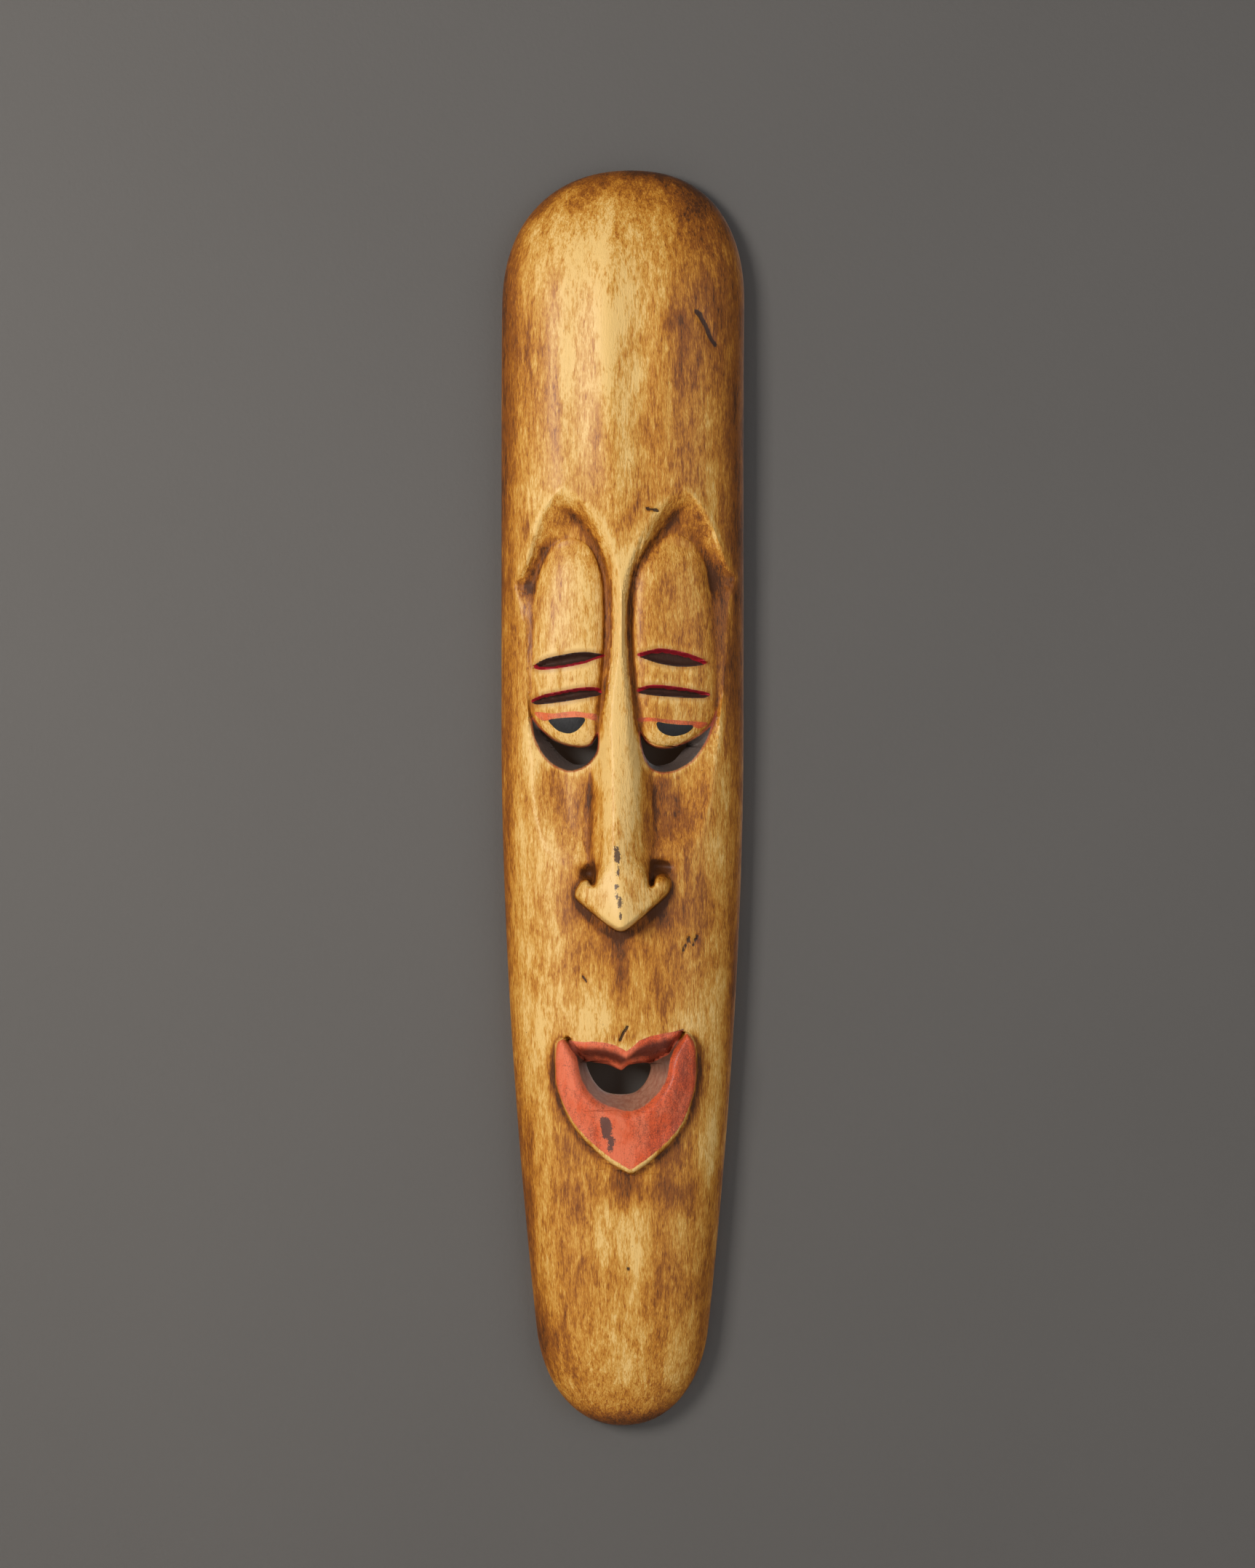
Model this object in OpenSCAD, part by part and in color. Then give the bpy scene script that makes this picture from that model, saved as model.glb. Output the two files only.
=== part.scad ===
// Tall carved wooden wall mask: one carved block, hollowed behind, with a batten
// across the hollow that carries a strap hanger with a swinging D-ring.
// Millimetres. X runs to the viewer's right, +Z up, the wall is the plane y = 0 and
// the face looks along -Y. The origin is where the ring hangs on its nail.

/* [Mask] */
// Length of the mask, top to bottom
mask_length = 1000; // [600:10:1250]
// Width across the rim at its widest
mask_width = 193; // [150:1:240]
// Depth from the wall to the tip of the nose
mask_depth = 78; // [68:1:96]
// Height of the straight edge round the rim
rim_height = 7; // [5:0.5:10]
// Flat width of the rim between the outline and the hollow
rim_wall = 13; // [11:0.5:16]
// Thickness of the wood behind the eye sockets
socket_wall = 13; // [10:0.5:16]
// Thickness of the wood behind the forehead
forehead_wall = 24; // [20:0.5:28]
// Thickness of the wood at the edge of the mouth hole
mouth_wall = 6; // [4:0.5:8]
// Depth that the brow and eye sockets are scaled to
socket_depth = 17; // [12:0.5:20]
// Depth of the cuts across the eyelids
slit_depth = 6.5; // [4:0.5:9]
// Height of the lips above the face
lip_height = 9; // [6:0.5:12]

/* [Batten] */
// Height of the batten along the mask
batten_height = 60; // [48:1:80]
// Thickness of the batten
batten_thickness = 10; // [8:0.5:12]
// Distance from the wall to the back of the batten
batten_recess = 9; // [8:0.5:12]
// Wood left outside the batten's notch at the rim
notch_wall = 10.5; // [9:0.5:14]
// Distance from the top of the mask to the top of the batten
batten_drop = 140; // [120:1:180]
// Gap round the ends of the batten
batten_gap = 0.2; // [0.1:0.05:0.5]

/* [Strap hanger] */
// Width of the strap
strap_width = 12; // [10:0.5:16]
// Thickness of the strap's sheet steel
strap_sheet = 1.2; // [0.8:0.1:1.5]
// Length of the strap below the ring's bar
strap_length = 31; // [28:0.5:36]
// Wire diameter of the ring
ring_wire = 3.2; // [2.5:0.1:4]
// Space between the strap and the ring on each side
ring_play = 3; // [2:0.5:6]
// Length of the ring's straight sides
ring_side = 5; // [4:0.5:9]
// Gap between the ring's bar and the strap's eye
eye_gap = 0.15; // [0.1:0.05:0.3]

/* [Screws] */
// Shank diameter of the strap screws
strap_screw_d = 3.5; // [3:0.1:4]
// Shank diameter of the batten screws
batten_screw_d = 4; // [3.5:0.1:4.5]
// How far the batten screws go into the block
batten_screw_bite = 11; // [8:0.5:12]

/* [Hidden] */
$fn = 48;
over = 1;

// The carving is drawn on a pattern 193 wide, 1000 long and 78 deep, with x from the
// centre line and t down from the top, and is then stretched to the mask's own sizes.
pattern_length = 1000;
pattern_half = 96.5;
pattern_depth = 78;
cap_top = 110;
cap_bottom = 80;
cap_power = 2.3;
dome_length = 130;
dome_power = 2.4;
keel_height = 2.6;
keel_line = [[0, -4], [90, -10], [210, -9.5], [260, -6], [300, -3.5]];
crown_line = [[0, 46], [60, 54], [150, 59], [230, 60], [300, 58], [420, 56], [560, 54],
              [650, 53], [740, 52], [840, 51], [900, 49], [1000, 42]];
kx = mask_width / 2 / pattern_half;
kt = mask_length / pattern_length;
ky = mask_depth / pattern_depth;

// Strap hanger, from the ring's bar
wire_r = ring_wire / 2;
eye_r = wire_r + eye_gap;
eye_outer = eye_r + strap_sheet;
plate = 2 * strap_sheet;
bar_y = -batten_recess + eye_outer;
ring_r = strap_width / 2 + ring_play + wire_r;
bar_z = -(ring_side + ring_r - wire_r);
strap_screw_inset = 6.5;
strap_screw_z = [bar_z - eye_outer - strap_screw_inset,
                 bar_z - strap_length + strap_screw_inset];
strap_screw_cover = 2;
strap_screw_length = plate + batten_thickness - strap_screw_cover;
strap_hole_play = 0.6;
strap_hole_d = strap_screw_d + strap_hole_play;
nail_room = 5;
hang_drop = batten_drop - nail_room;

// Screw heads and points
head_r = strap_screw_d;
head_crown = 0.7;
head_h = 2.2;
csk_r = batten_screw_d;
point_d = 0.6;
slot_width = 1;
slot_deep = 1.2;

// Hollow, by the wood that it leaves under the pattern's face
socket_face = 57;
forehead_face = 60;
mouth_face = 52;
hollow_depth = socket_face * ky - socket_depth - socket_wall;
forehead_hollow = forehead_face * ky - forehead_wall;

// Batten and the notches that it sits in
batten_mid = batten_drop + batten_height / 2;
notch_x = rim_x(batten_mid) - notch_wall;
batten_half = notch_x - batten_gap;
batten_screw_end = 6.5;
batten_screw_edge = 12;
batten_screw_cover = 3;
batten_screw_x = notch_x - batten_screw_end;
batten_screw_z = batten_height / 2 - batten_screw_edge;
screw_room = block(batten_screw_x / kx, batten_mid / kt)
    - batten_recess - batten_thickness - batten_screw_cover;
batten_screw_length = batten_thickness + min(batten_screw_bite, screw_room);

// ---- curves ----
function ramp(v, lo, hi) = let (s = min(max((v - lo) / (hi - lo), 0), 1)) s * s * (3 - 2 * s);
function clamp(v, lo, hi) = min(max(v, lo), hi);

// The value at t of a smooth line through (t, value) points.
function slope(p, i) = let (a = max(i - 1, 0), b = min(i + 1, len(p) - 1))
    (p[b][1] - p[a][1]) / (p[b][0] - p[a][0]);
function span(p, t, i = 0) = (i >= len(p) - 2 || t < p[i + 1][0]) ? i : span(p, t, i + 1);
function along(p, t) =
    let (i = span(p, t), h = p[i + 1][0] - p[i][0], s = clamp((t - p[i][0]) / h, 0, 1))
    (2 * s^3 - 3 * s^2 + 1) * p[i][1] + (s^3 - 2 * s^2 + s) * h * slope(p, i)
    + (3 * s^2 - 2 * s^3) * p[i + 1][1] + (s^3 - s^2) * h * slope(p, i + 1);

// A closed smooth outline through points, n steps to each span.
function through(p, n) = let (m = len(p)) [
    for (i = [0:m - 1], k = [0:n - 1])
        let (a = p[(i + m - 1) % m], b = p[i], c = p[(i + 1) % m], d = p[(i + 2) % m], u = k / n)
        (2 * b + (c - a) * u + (2 * a - 5 * b + 4 * c - d) * u^2
         + (3 * b - a - 3 * c + d) * u^3) / 2];

function off_segment(q, a, b) = let (ab = b - a, s = clamp((q - a) * ab / (ab * ab), 0, 1))
    norm(q - a - s * ab);
function off_line(q, p) = min([for (i = [0:len(p) - 2]) off_segment(q, p[i], p[i + 1])]);
function crossings(q, p) = len([for (i = [0:len(p) - 1])
    let (a = p[i], b = p[(i + 1) % len(p)])
    if ((a[1] > q[1]) != (b[1] > q[1])
        && q[0] < a[0] + (q[1] - a[1]) * (b[0] - a[0]) / (b[1] - a[1])) 1]);
// Distance inside a closed outline, negative outside it.
function within(q, p) = (crossings(q, p) % 2 == 1 ? 1 : -1)
    * min(off_line(q, p), off_segment(q, p[len(p) - 1], p[0]));

// ---- the block: outline, crown and cross-section ----
function end_cap(s, n) = (1 - clamp(1 - s, 0, 1)^n)^(1 / n);
function side_line(t) = pattern_half - 37 * clamp((t - 450) / 550, 0, 1)^1.8;
function half_width(t) = side_line(t)
    * end_cap(t / cap_top, cap_power) * end_cap((pattern_length - t) / cap_bottom, cap_power);
function rim_x(drop) = half_width(drop / kt) * kx;
function middle(t) = 6.5 * exp(-t / 45);
function crown(t) = (along(crown_line, t) * ky - rim_height)
    * end_cap(t / dome_length, cap_power)
    * end_cap((pattern_length - t) / dome_length, dome_power);
function keel(x, t) = keel_height * exp(-(abs(x - along(keel_line, t)) / 14)^1.8)
    * ramp(t, 25, 90) * (1 - ramp(t, 250, 300));
function block(x, t) =
    let (u = clamp(abs(x - middle(t)) / max(half_width(t), 0.01), 0, 1))
    rim_height + crown(t) * (1 - u^2.3)^0.6 + keel(x, t);

// ---- brow, sockets and cheeks, as distances from the centre line ----
nose_left = [[256, 46], [262, 34], [277, 22], [290, 16], [307, 12], [325, 10], [360, 10],
             [392, 11.5], [439, 17.5], [500, 20.5], [560, 22]];
nose_right = [[256, 47], [264, 35], [281, 23], [296, 17], [314, 11.5], [333, 8], [360, 7],
              [392, 8], [439, 12], [479, 18.5], [560, 22.5]];
ridge_left = [[256, 46], [264, 56], [278, 65], [296, 71], [312, 75.5], [322, 80], [330, 86],
              [350, 81], [380, 77], [430, 74.5], [500, 70], [520, 67.5], [540, 61], [552, 51], [560, 38]];
ridge_right = [[256, 48], [264, 58], [275, 65.5], [290, 73], [305, 78.5], [324, 90], [334, 87.5],
               [360, 84], [400, 81.5], [434, 76.5], [470, 73.5], [517, 66], [537, 59], [550, 47], [560, 35]];
socket_top = 256;
socket_end = 560;
function edge_line(p, side) = [for (t = [socket_top:8:socket_end]) [side * along(p, t), t]];
nose_edge = [edge_line(nose_left, -1), edge_line(nose_right, 1)];
ridge_edge = [edge_line(ridge_left, -1), edge_line(ridge_right, 1)];
// Depth by the ridge and by the nose, as shares of the socket's depth, and how far the
// side of the nose runs in from its line and out into the socket.
by_ridge = [[256, 0.4], [275, 0.6], [300, 0.65], [332, 0.6], [346, 0.38], [370, 0.27], [430, 0.3],
            [450, 0.48], [480, 0.6], [515, 0.48], [540, 0.2], [560, 0]];
by_nose = [[256, 0.48], [275, 0.65], [300, 0.7], [330, 0.65], [400, 0.6], [440, 0.62], [480, 0.6],
           [515, 0.48], [540, 0.24], [560, 0]];
nose_soft = [[250, 1.5], [290, 3], [320, 7], [440, 9], [480, 13], [520, 16], [560, 17]];
socket_soft = [[250, 17], [282, 15], [305, 8], [330, 3.5], [440, 3.5], [480, 6], [520, 9], [560, 9]];
slope_reach = 26;
function cut_in(x, t) =
    let (side = x < 0 ? 0 : 1,
         past = abs(x) - along(side == 0 ? nose_left : nose_right, t),
         to_nose = off_line([x, t], nose_edge[side]) * sign(past),
         to_ridge = off_line([x, t], ridge_edge[side]),
         to_lid = max(-within([x, t], side == 0 ? lid_left : lid_right), 0),
         reach = clamp(to_ridge + to_lid, 1, slope_reach),
         outer = 1 - (1 - min(to_ridge / reach, 1))^1.6,
         inner = ramp(to_nose, -along(nose_soft, t), along(socket_soft, t)),
         shallow = along(by_ridge, t),
         deep = shallow + (along(by_nose, t) - shallow) * ramp(-abs(x), -56, -28))
    socket_depth * deep * inner * outer;
function in_socket(x, t) = t > socket_top && t < socket_end
    && abs(x) < along(x < 0 ? ridge_left : ridge_right, t);

// ---- nose ----
nose_rise = [[230, 0], [300, 0], [340, 1.5], [400, 4], [480, 10], [560, 19], [595, 24], [606, 24]];
nose_axis = [[250, -2.5], [340, -3.5], [440, -4.5], [500, -5.5], [560, -5], [590, -2], [606, 0.5]];
nose_sharpness = [[300, 2.2], [420, 1.9], [480, 1.4], [606, 1.25]];
nose_foot = 3;
nose_tip = through([[-20.5, 500], [-22, 540], [-22.3, 560], [-23, 567], [-27.5, 563.5], [-33, 566.5],
    [-37.5, 574], [-36, 580], [-24, 591], [-10, 601.5], [-2, 605], [6, 602], [22, 589], [34, 578],
    [38.5, 570], [37, 562.5], [31, 559.5], [25.5, 562], [22.7, 567.5], [22.3, 560], [21.5, 540],
    [20.5, 500]], 3);
tip_edge = 4.5;
function bridge_shape(x, t) =
    let (off = x - along(nose_axis, t),
         half = off < 0 ? along(nose_left, t) + along(nose_axis, t)
                        : along(nose_right, t) - along(nose_axis, t),
         share = clamp(abs(off) / (half + nose_foot), 0, 1))
    (1 - share^along(nose_sharpness, t))^1.3;
function tip_shape(x, t) = abs(x) > 45 ? 0
    : let (deep = clamp(within([x, t], nose_tip) / tip_edge, 0, 1))
      (1 - 0.72 * clamp(abs(x - along(nose_axis, t) / 2) / 38, 0, 1)^0.9) * (1 - (1 - deep)^2.2);
function nose(x, t) = t < 300 || t > 612 || abs(x) > 75 ? 0
    : let (low = ramp(t, 525, 562))
      along(nose_rise, t) * ky * ((low < 1 ? (1 - low) * bridge_shape(x, t) : 0)
                                  + (low > 0 ? low * tip_shape(x, t) : 0));

// ---- eyelids and the cuts across them ----
lid_left = through([[-40, 295], [-55, 301], [-65, 318], [-70, 340], [-70.5, 385], [-71.5, 420],
    [-70, 436], [-61, 449], [-49, 456.5], [-37, 458.5], [-26, 454], [-19.5, 442], [-17, 420],
    [-14.5, 385], [-14, 345], [-17, 320], [-26, 302]], 2);
lid_right = through([[41, 292], [26, 299], [14, 314], [8.5, 335], [7, 365], [8.5, 400], [11, 430],
    [15, 446], [24, 456], [33, 459], [45, 457], [58, 450], [69, 438], [74, 426], [73, 400],
    [71, 365], [69.5, 335], [65, 313], [55, 298]], 2);
lid_drop = [[290, 12], [320, 5], [360, 2], [430, 2], [470, 4]];
lid_round = 19;
function lid(x, t, under) = t < 288 || t > 462 || abs(x) > 78 ? under
    : let (d = within([x, t], x < 0 ? lid_left : lid_right),
           top = max(block(x, t) - along(lid_drop, t), under + 2))
      d <= 0 ? under : under + (top - under) * sqrt(1 - (1 - min(d / lid_round, 1))^2);
// Two cuts across each lid, along rows that bow upwards; each is a row and half its height.
slits = [[392, 5], [419.5, 4.6]];
slit_ends = [[-70, -15], [11.5, 67.5]];
function slit_place(x) = let (e = slit_ends[x < 0 ? 0 : 1]) clamp((x - e[0]) / (e[1] - e[0]), 0, 1);
function slit_line(x, row) = let (s = slit_place(x))
    (x < 0 ? 3 - 6.5 * s : 4.5 * s - 4 - 2 * (row - slits[0][0]) / 27) - 2.2 * sin(180 * s);
function slit(x, row, c) = let (s = slit_place(x), height = c[1] * (1 - (2 * s - 1)^2)^0.75)
    height < 0.1 || abs(row - c[0]) >= height ? 0
    : slit_depth * (1 - (abs(row - c[0]) / height)^1.6) * height / c[1];
function slits_at(x, row) = row < 375 || row > 432 ? 0 : max([for (c = slits) slit(x, row, c)]);

// ---- mouth ----
lip_outline = through([[-46, 688.5], [-51.5, 692], [-53.5, 702], [-52.5, 722], [-45, 746],
    [-31.5, 765.5], [-13.5, 781.5], [0, 791], [7, 795], [14, 789], [31, 772.5], [48, 749],
    [57, 724], [58.5, 701.5], [55, 690], [50.5, 685], [45, 690], [30, 700], [0, 706], [-30, 700],
    [-41, 693]], 3);
mouth_outline = through([[-42, 690.5], [-38.5, 704], [-32.5, 722], [-18, 738.5], [0, 746],
    [16, 742.5], [29.5, 730], [37.5, 713], [44, 698], [48.5, 684], [38, 683.8], [24, 687],
    [13, 692], [4.5, 699], [-5, 694], [-14, 691.5], [-28, 691]], 3);
mouth_hole = through([[-28.5, 708.5], [-20, 708], [-10, 709.5], [-2, 715], [4, 712], [10, 710],
    [21, 710.5], [21, 718.5], [17, 726], [10.5, 732], [-2, 735], [-15, 732], [-24, 722]], 3);
mouth_cut = mouth_face * ky - hollow_depth - mouth_wall;
lip_inner = 0.42;
lip_outer = 0.63;
lip_crest = 6.5;
lip_edge = 3.2;
function lips(x, t, face) = abs(x) > 62 || t < 680 || t > 800 ? face
    : let (mouth = within([x, t], mouth_outline))
      mouth > 0
      ? let (hole = max(-within([x, t], mouth_hole), 0),
             top = face + lip_inner * lip_height * ramp(t, 700, 712),
             deep = face - mouth_cut)
        deep + (top - deep) * (hole / (hole + mouth))^0.85
      : let (lip = clamp(within([x, t], lip_outline) / lip_edge, 0, 1),
             swell = 1 - (1 - lip_inner) * (1 - min(-mouth / lip_crest, 1))^2
                     - (1 - lip_outer) * ramp(-mouth, 6, 28))
        face + lip_height * swell * (1 - (1 - lip)^2.4);

// ---- the whole carved surface: its height over the wall ----
function carved(x, t, row) =
    let (face = block(x, t),
         cut = in_socket(x, t) ? face - cut_in(x, t) : face,
         raised = cut + nose(x, t),
         lidded = lid(x, t, raised) - slits_at(x, row))
    lips(x, t, lidded);

// Rows bend to follow the cuts across the lids and the upper edge of the mouth.
mouth_row = 690;
mouth_top = [[-60, 690], [-42, 690.5], [-28, 691], [-14, 691.5], [-5, 694], [4.5, 699], [13, 692],
             [24, 687], [38, 683.8], [48.5, 684], [60, 684]];
function bent(x, row) = row
    + (row > 340 && row < 455 ? ramp(row, 340, 384) * (1 - ramp(row, 432, 455)) * slit_line(x, row) : 0)
    + (row > 655 && row < 722 ? ramp(row, 655, 684) * (1 - ramp(row, 696, 722))
                                * (along(mouth_top, clamp(x, -60, 60)) - mouth_row) : 0);

function at(x, t, height) = [x * kx, -height, hang_drop - t * kt];

// Rows down the mask, close together where it is carved.
rows = [0.5, 2, 5, 10, 17, 26, 38, 53, 72, 95, 122, 155, 190, 222, 244,
        for (t = [254:6:308]) t, for (t = [317:9:371]) t, 378, 384, 387, 389.5, 392, 394.5, 397,
        400, 406, 412, 415, 417.2, 419.5, 421.8, 424, 427, 432, for (t = [438:6:470]) t,
        for (t = [478:8:542]) t, 549, 554, for (t = [558:3.5:600]) t, 604, 608, 622, 642, 662,
        676, 683, 686, 688.5, 690,
        692, 695, 699, for (t = [704:5:779]) t, 783, 787, 790.5, 793.5, 796,
        815, 845, 875, 900, 922, 942, 958, 972, 983, 991, 996.5, 999.5];

// Columns across it follow the edges of the carving: each side has four guides, the
// ridge, the two sides of the lid or lip and the side of the nose.
guide_steps = [5, 3, 5, 3, 4];
ridge_rest = [[0, 62], [200, 62], [256, 51], [546, 57], [600, 62], [1000, 62]];
outer_rest = [[0, 42], [200, 42], [254, 50], [262, 49], [296, 52], [462, 50], [480, 50], [620, 48],
              [684, 48], [786, 8], [797, 6], [815, 14], [850, 40], [1000, 46]];
inner_rest = [[0, 30], [200, 30], [254, 45], [262, 43], [296, 34], [462, 34], [480, 36], [620, 36],
              [684, 40], [740, 20], [790, 18], [850, 26], [1000, 26]];
nose_rest = [[0, 17], [200, 17], [256, 42], [556, 22], [561, 27], [567, 36], [574, 37.6], [602, 7],
             [612, 9], [735, 8], [790, 8], [850, 14], [1000, 14]];
// The leftmost and rightmost x of an outline at t.
function extent(outline, t) = let (n = len(outline), hits = [for (i = [0:n - 1])
        let (a = outline[i], b = outline[(i + 1) % n])
        if ((a[1] > t) != (b[1] > t)) a[0] + (t - a[1]) * (b[0] - a[0]) / (b[1] - a[1])])
    len(hits) == 0 ? [0, 0] : [min(hits), max(hits)];
function or_rest(v, table, t) = v < 3 ? lookup(t, table) : v;
function guides(t, side) =
    let (hw = half_width(t),
         left = side < 0,
         eye = t > 258 && t < 556,
         mouth = t > 640,
         far = extent(mouth ? lip_outline : left ? lid_left : lid_right, t),
         near = mouth ? extent(mouth_outline, t) : [far[1], far[0]],
         hole = t < 575 ? [0, 0] : extent(mouth ? mouth_hole : nose_tip, t),
         ridge = eye && t < 546 ? along(left ? ridge_left : ridge_right, t) : lookup(t, ridge_rest),
         outer = or_rest(left ? -far[0] : far[1], outer_rest, t),
         inner = or_rest(left ? -near[0] : near[1], inner_rest, t),
         centre = eye ? along(left ? nose_left : nose_right, t)
                      : or_rest(left ? -hole[0] : hole[1], nose_rest, t),
         a = min(ridge, 0.94 * hw),
         b = min(outer, 0.955 * a),
         c = min(inner, 0.93 * b))
    [0, min(centre, 0.93 * c), c, b, a, hw];
function half_row(t, side) = let (g = guides(t, side)) [
    for (k = [0:4], i = [1:guide_steps[k]])
        let (v = i / guide_steps[k], w = k == 4 ? 1 - (1 - v)^1.6 : k == 0 ? 1 - (1 - v)^1.3 : v)
        middle(t) + side * (g[k] + (g[k + 1] - g[k]) * w)];
function row_x(t) = let (l = half_row(t, -1), r = half_row(t, 1))
    concat([for (i = [len(l) - 1:-1:0]) l[i]], [middle(t)], r);

// The faces of a closed body: an m by n grid in front, then two points a row behind.
function grid_faces(m, n) = let (b = m * n) [
    for (i = [0:m - 2], j = [0:n - 2]) each
        let (p = i * n + j) [[p, p + 1, p + n + 1], [p, p + n + 1, p + n]],
    for (i = [0:m - 2]) [i * n, (i + 1) * n, b + 2 * i + 2, b + 2 * i],
    for (i = [0:m - 2]) [i * n + n - 1, b + 2 * i + 1, b + 2 * i + 3, (i + 1) * n + n - 1],
    [for (j = [n - 1:-1:0]) j, b, b + 1],
    [for (j = [0:n - 1]) (m - 1) * n + j, b + 2 * m - 1, b + 2 * m - 2],
    [for (i = [0:m - 1]) b + 2 * i, for (i = [m - 1:-1:0]) b + 2 * i + 1]];

module carved_block() {
    m = len(rows);
    front = [for (r = rows, x = row_x(r)) let (t = bent(x, r)) at(x, t, carved(x, t, r))];
    n = len(front) / m;
    back = [for (t = rows, s = [-1, 1]) at(middle(t) + s * half_width(t), t, 0)];
    polyhedron(concat(front, back), grid_faces(m, n), convexity = 8);
}

// The hollow gouged out behind, as wide as the rim leaves.
hollow_steps = 28;
hollow_columns = 14;
rim_clear = 0.5;
function hollow_half(drop) = (side_line(drop / kt) * kx - rim_wall)
    * end_cap((drop - rim_wall) / (cap_top * kt - rim_wall), cap_power)
    * end_cap((mask_length - rim_wall - drop) / (cap_bottom * kt - rim_wall), cap_power);
function hollow_deep(drop) =
    hollow_depth + (forehead_hollow - hollow_depth) * (1 - ramp(drop / kt, 215, 300));
module hollow() {
    first = rim_wall + rim_clear;
    last = mask_length - rim_wall - rim_clear;
    turn = 180 / hollow_steps;
    drops = [for (i = [0:hollow_steps]) (first + last) / 2 - (last - first) / 2 * cos(turn * i)];
    front = [for (i = [0:hollow_steps], j = [0:hollow_columns])
        let (v = cos(180 * j / hollow_columns),
             drop = drops[i],
             dome = min(1, sin(turn * i) * 1.5 + 0.1))
        [middle(drop / kt) * kx - v * hollow_half(drop),
         -hollow_deep(drop) * dome * (1 - abs(v)^2.6)^0.5,
         hang_drop - drop]];
    back = [for (drop = drops, s = [-1, 1])
        [middle(drop / kt) * kx + s * hollow_half(drop), over, hang_drop - drop]];
    polyhedron(concat(front, back), grid_faces(hollow_steps + 1, hollow_columns + 1), convexity = 4);
}

// Openings cut right through, drawn on the pattern.
eye_left = through([[-68, 446], [-62, 451.5], [-50, 458.5], [-38, 460.5], [-27, 457], [-19.5, 449],
    [-19, 461], [-26, 473], [-38, 476.5], [-52, 470], [-63, 458]], 2);
eye_right = through([[15, 450], [23, 458], [33, 461], [45, 459], [57, 452.5], [65, 445],
    [58, 458], [46, 470.5], [32, 477], [22, 470]], 2);
module opening(outline) {
    translate([0, over, hang_drop]) rotate([90, 0, 0])
        linear_extrude(mask_depth + 2 * over)
            polygon([for (p = outline) [p[0] * kx, -p[1] * kt]]);
}

module notches() {
    deep = batten_recess + batten_thickness;
    translate([-notch_x, -deep, hang_drop - batten_drop - batten_height - batten_gap])
        cube([2 * notch_x, deep + over, batten_height + 2 * batten_gap]);
}

module at_batten_screws() {
    for (x = [-1, 1], z = [-1, 1])
        translate([x * batten_screw_x, -batten_recess,
                   hang_drop - batten_mid + z * batten_screw_z])
            rotate([90, 0, 0]) children();
}
module at_strap_screws() {
    for (z = strap_screw_z)
        translate([0, -batten_recess + plate, z]) rotate([90, 0, 0]) children();
}

module mask_body() {
    color("burlywood") difference() {
        carved_block();
        hollow();
        opening(eye_left);
        opening(eye_right);
        opening(mouth_hole);
        notches();
        at_batten_screws() cylinder(h = batten_screw_length, d = batten_screw_d);
    }
}

module hanger_batten() {
    color("tan") difference() {
        translate([-batten_half, -batten_recess - batten_thickness,
                   hang_drop - batten_drop - batten_height])
            cube([2 * batten_half, batten_thickness, batten_height]);
        at_batten_screws() {
            cylinder(h = batten_screw_length, d = batten_screw_d);
            cylinder(h = csk_r / 2, r1 = csk_r, r2 = csk_r / 2);
        }
        at_strap_screws() cylinder(h = plate + strap_screw_length, d = strap_screw_d);
    }
}

module screw_slot(r) {
    for (a = [0, 90]) rotate(a)
        translate([-0.75 * r, -slot_width / 2, -over])
            cube([1.5 * r, slot_width, slot_deep + over]);
}

module batten_screws() {
    tip = batten_screw_d;
    color("silver") at_batten_screws() difference() {
        union() {
            cylinder(h = csk_r / 2, r1 = csk_r, r2 = csk_r / 2);
            cylinder(h = batten_screw_length - tip, d = batten_screw_d);
            translate([0, 0, batten_screw_length - tip])
                cylinder(h = tip, d1 = batten_screw_d, d2 = point_d);
        }
        screw_slot(csk_r);
    }
}

module strap_screws() {
    tip = strap_screw_d;
    color("silver") at_strap_screws() difference() {
        union() {
            translate([0, 0, -head_h])
                cylinder(h = head_h, r1 = head_r * head_crown, r2 = head_r);
            cylinder(h = strap_screw_length - tip, d = strap_screw_d);
            translate([0, 0, strap_screw_length - tip])
                cylinder(h = tip, d1 = strap_screw_d, d2 = point_d);
        }
        translate([0, 0, -head_h]) screw_slot(head_r * head_crown);
    }
}

// One strip of sheet folded round the ring's bar, with its two ends screwed down together.
module hanger_strap() {
    color("silver") difference() {
        union() {
            translate([-strap_width / 2, bar_y, bar_z]) rotate([0, 90, 0])
                cylinder(h = strap_width, r = eye_outer);
            translate([-strap_width / 2, -batten_recess, bar_z - strap_length])
                cube([strap_width, plate, strap_length]);
        }
        translate([-strap_width / 2 - over, bar_y, bar_z]) rotate([0, 90, 0])
            cylinder(h = strap_width + 2 * over, r = eye_r);
        at_strap_screws() translate([0, 0, -over])
            cylinder(h = plate + 2 * over, d = strap_hole_d);
    }
}

// D-ring: a straight bar in the strap's eye, two short sides and a half-round top.
module hanger_ring() {
    bend = 3;
    color("silver") translate([0, bar_y, bar_z]) {
        translate([-ring_r + bend, 0, 0]) rotate([0, 90, 0])
            cylinder(h = 2 * (ring_r - bend), r = wire_r);
        for (s = [0, 1]) mirror([s, 0, 0]) {
            translate([ring_r - bend, 0, bend]) rotate([90, 0, 0]) rotate(-90)
                rotate_extrude(angle = 90) translate([bend, 0]) circle(r = wire_r);
            translate([ring_r, 0, bend]) cylinder(h = ring_side - bend, r = wire_r);
        }
        translate([0, 0, ring_side]) rotate([90, 0, 0])
            rotate_extrude(angle = 180) translate([ring_r, 0]) circle(r = wire_r);
    }
}

mask_body();
hanger_batten();
batten_screws();
hanger_strap();
strap_screws();
hanger_ring();
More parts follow.
